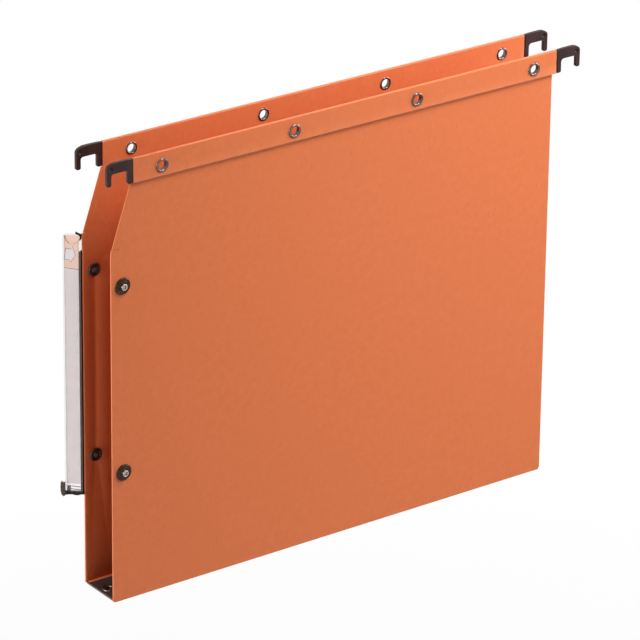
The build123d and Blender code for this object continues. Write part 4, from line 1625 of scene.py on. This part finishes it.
def light_world(stage):
    """A sky that looks white and lights the folder softly, more from behind than from the front."""
    world = bpy.data.worlds.new("even_light")
    world.use_nodes = True
    bpy.context.scene.world = world
    towards = add_node(world, "ShaderNodeTexCoord", {}).outputs["Generated"]
    lift = add_node(world, "ShaderNodeVectorMath", {0: towards, 1: SKY_SIDE}, operation="DOT_PRODUCT")
    soft = spread(world, lift.outputs["Value"], 0.0, 1.0, stage.sky_low, stage.sky_high)
    seen = seen_directly(world)
    rest = compute(world, "MULTIPLY", soft, compute(world, "SUBTRACT", 1.0, seen))
    backdrop = world.node_tree.nodes["Background"]
    feed(world.node_tree, backdrop.inputs["Strength"], compute(world, "ADD", seen, rest))
    feed(world.node_tree, backdrop.inputs["Color"], WHITE)


def set_camera(stage):
    """The camera at the photograph's viewing angle."""
    right, up, back = camera_axes(stage)
    select_only()
    bpy.ops.object.camera_add()
    camera = bpy.context.object
    camera.name = "camera"
    place = back * stage.distance - right * stage.aside - up * stage.rise
    camera.matrix_world = Matrix.Translation(place) @ Matrix((right, up, back)).transposed().to_4x4()
    camera.data.lens = stage.lens
    camera.data.sensor_width = SENSOR_WIDTH
    camera.data.clip_end = 4 * FLOOR_SIZE
    bpy.context.scene.camera = camera


class FOLDER_OT_stage(Operator):
    """Makes the floor, the light and the camera"""
    bl_idname = "folder.set_stage"
    bl_label = "Set the stage"

    def execute(self, context):
        stage = context.scene.folder_stage
        middle = (CAD_LOW + CAD_HIGH) / 2
        make_floor(middle)
        light_world(stage)
        lamp("key_light", stage.key_power, KEY_SIZE, KEY_PLACE, middle)
        lamp("top_light", stage.top_power, TOP_SIZE, TOP_PLACE, TOP_TARGET, stage.top_spread)
        lamp("side_light", stage.side_power, SIDE_SIZE, SIDE_PLACE, middle)
        set_camera(stage)
        context.scene.view_settings.view_transform = "Standard"
        return {"FINISHED"}


# Panel and registration
class FOLDER_PT_panel(Panel):
    """Lists the steps that dress the folder"""
    bl_idname = "FOLDER_PT_panel"
    bl_label = "Hanging file folder"
    bl_space_type = "VIEW_3D"
    bl_region_type = "UI"
    bl_category = "Folder"

    def draw(self, context):
        column = self.layout.column(align=True)
        for step in STEPS:
            column.operator(step.bl_idname)
        for group in GROUPS:
            settings = getattr(context.scene, group)
            box = self.layout.box()
            for name in settings.bl_rna.properties.keys():
                if name not in ("rna_type", "name"):
                    box.prop(settings, name)


GROUPS = {
    "folder_card": FolderCard,
    "folder_hook": FolderHook,
    "folder_metal": FolderMetal,
    "folder_label": FolderLabel,
    "folder_colours": FolderColours,
    "folder_stage": FolderStage,
}
STEPS = (
    FOLDER_OT_cards,
    FOLDER_OT_front_folds,
    FOLDER_OT_bottom_plate,
    FOLDER_OT_crease_bead,
    FOLDER_OT_bars,
    FOLDER_OT_hooks,
    FOLDER_OT_eyelets,
    FOLDER_OT_press_studs,
    FOLDER_OT_base_rivets,
    FOLDER_OT_label_rail,
    FOLDER_OT_label_sleeve,
    FOLDER_OT_index_label,
    FOLDER_OT_stage,
)


def register():
    """Registers the settings, the steps and the panel."""
    for name, group in GROUPS.items():
        bpy.utils.register_class(group)
        setattr(bpy.types.Scene, name, PointerProperty(type=group))
    for step in STEPS:
        bpy.utils.register_class(step)
    bpy.utils.register_class(FOLDER_PT_panel)


def unregister():
    """Takes the panel, the steps and the settings away again."""
    bpy.utils.unregister_class(FOLDER_PT_panel)
    for step in reversed(STEPS):
        bpy.utils.unregister_class(step)
    for name, group in GROUPS.items():
        delattr(bpy.types.Scene, name)
        bpy.utils.unregister_class(group)


def main():
    """Runs every step in order."""
    register()
    for step in STEPS:
        area, name = step.bl_idname.split(".")
        getattr(getattr(bpy.ops, area), name)()
    select_only()


if __name__ == "__main__":
    main()
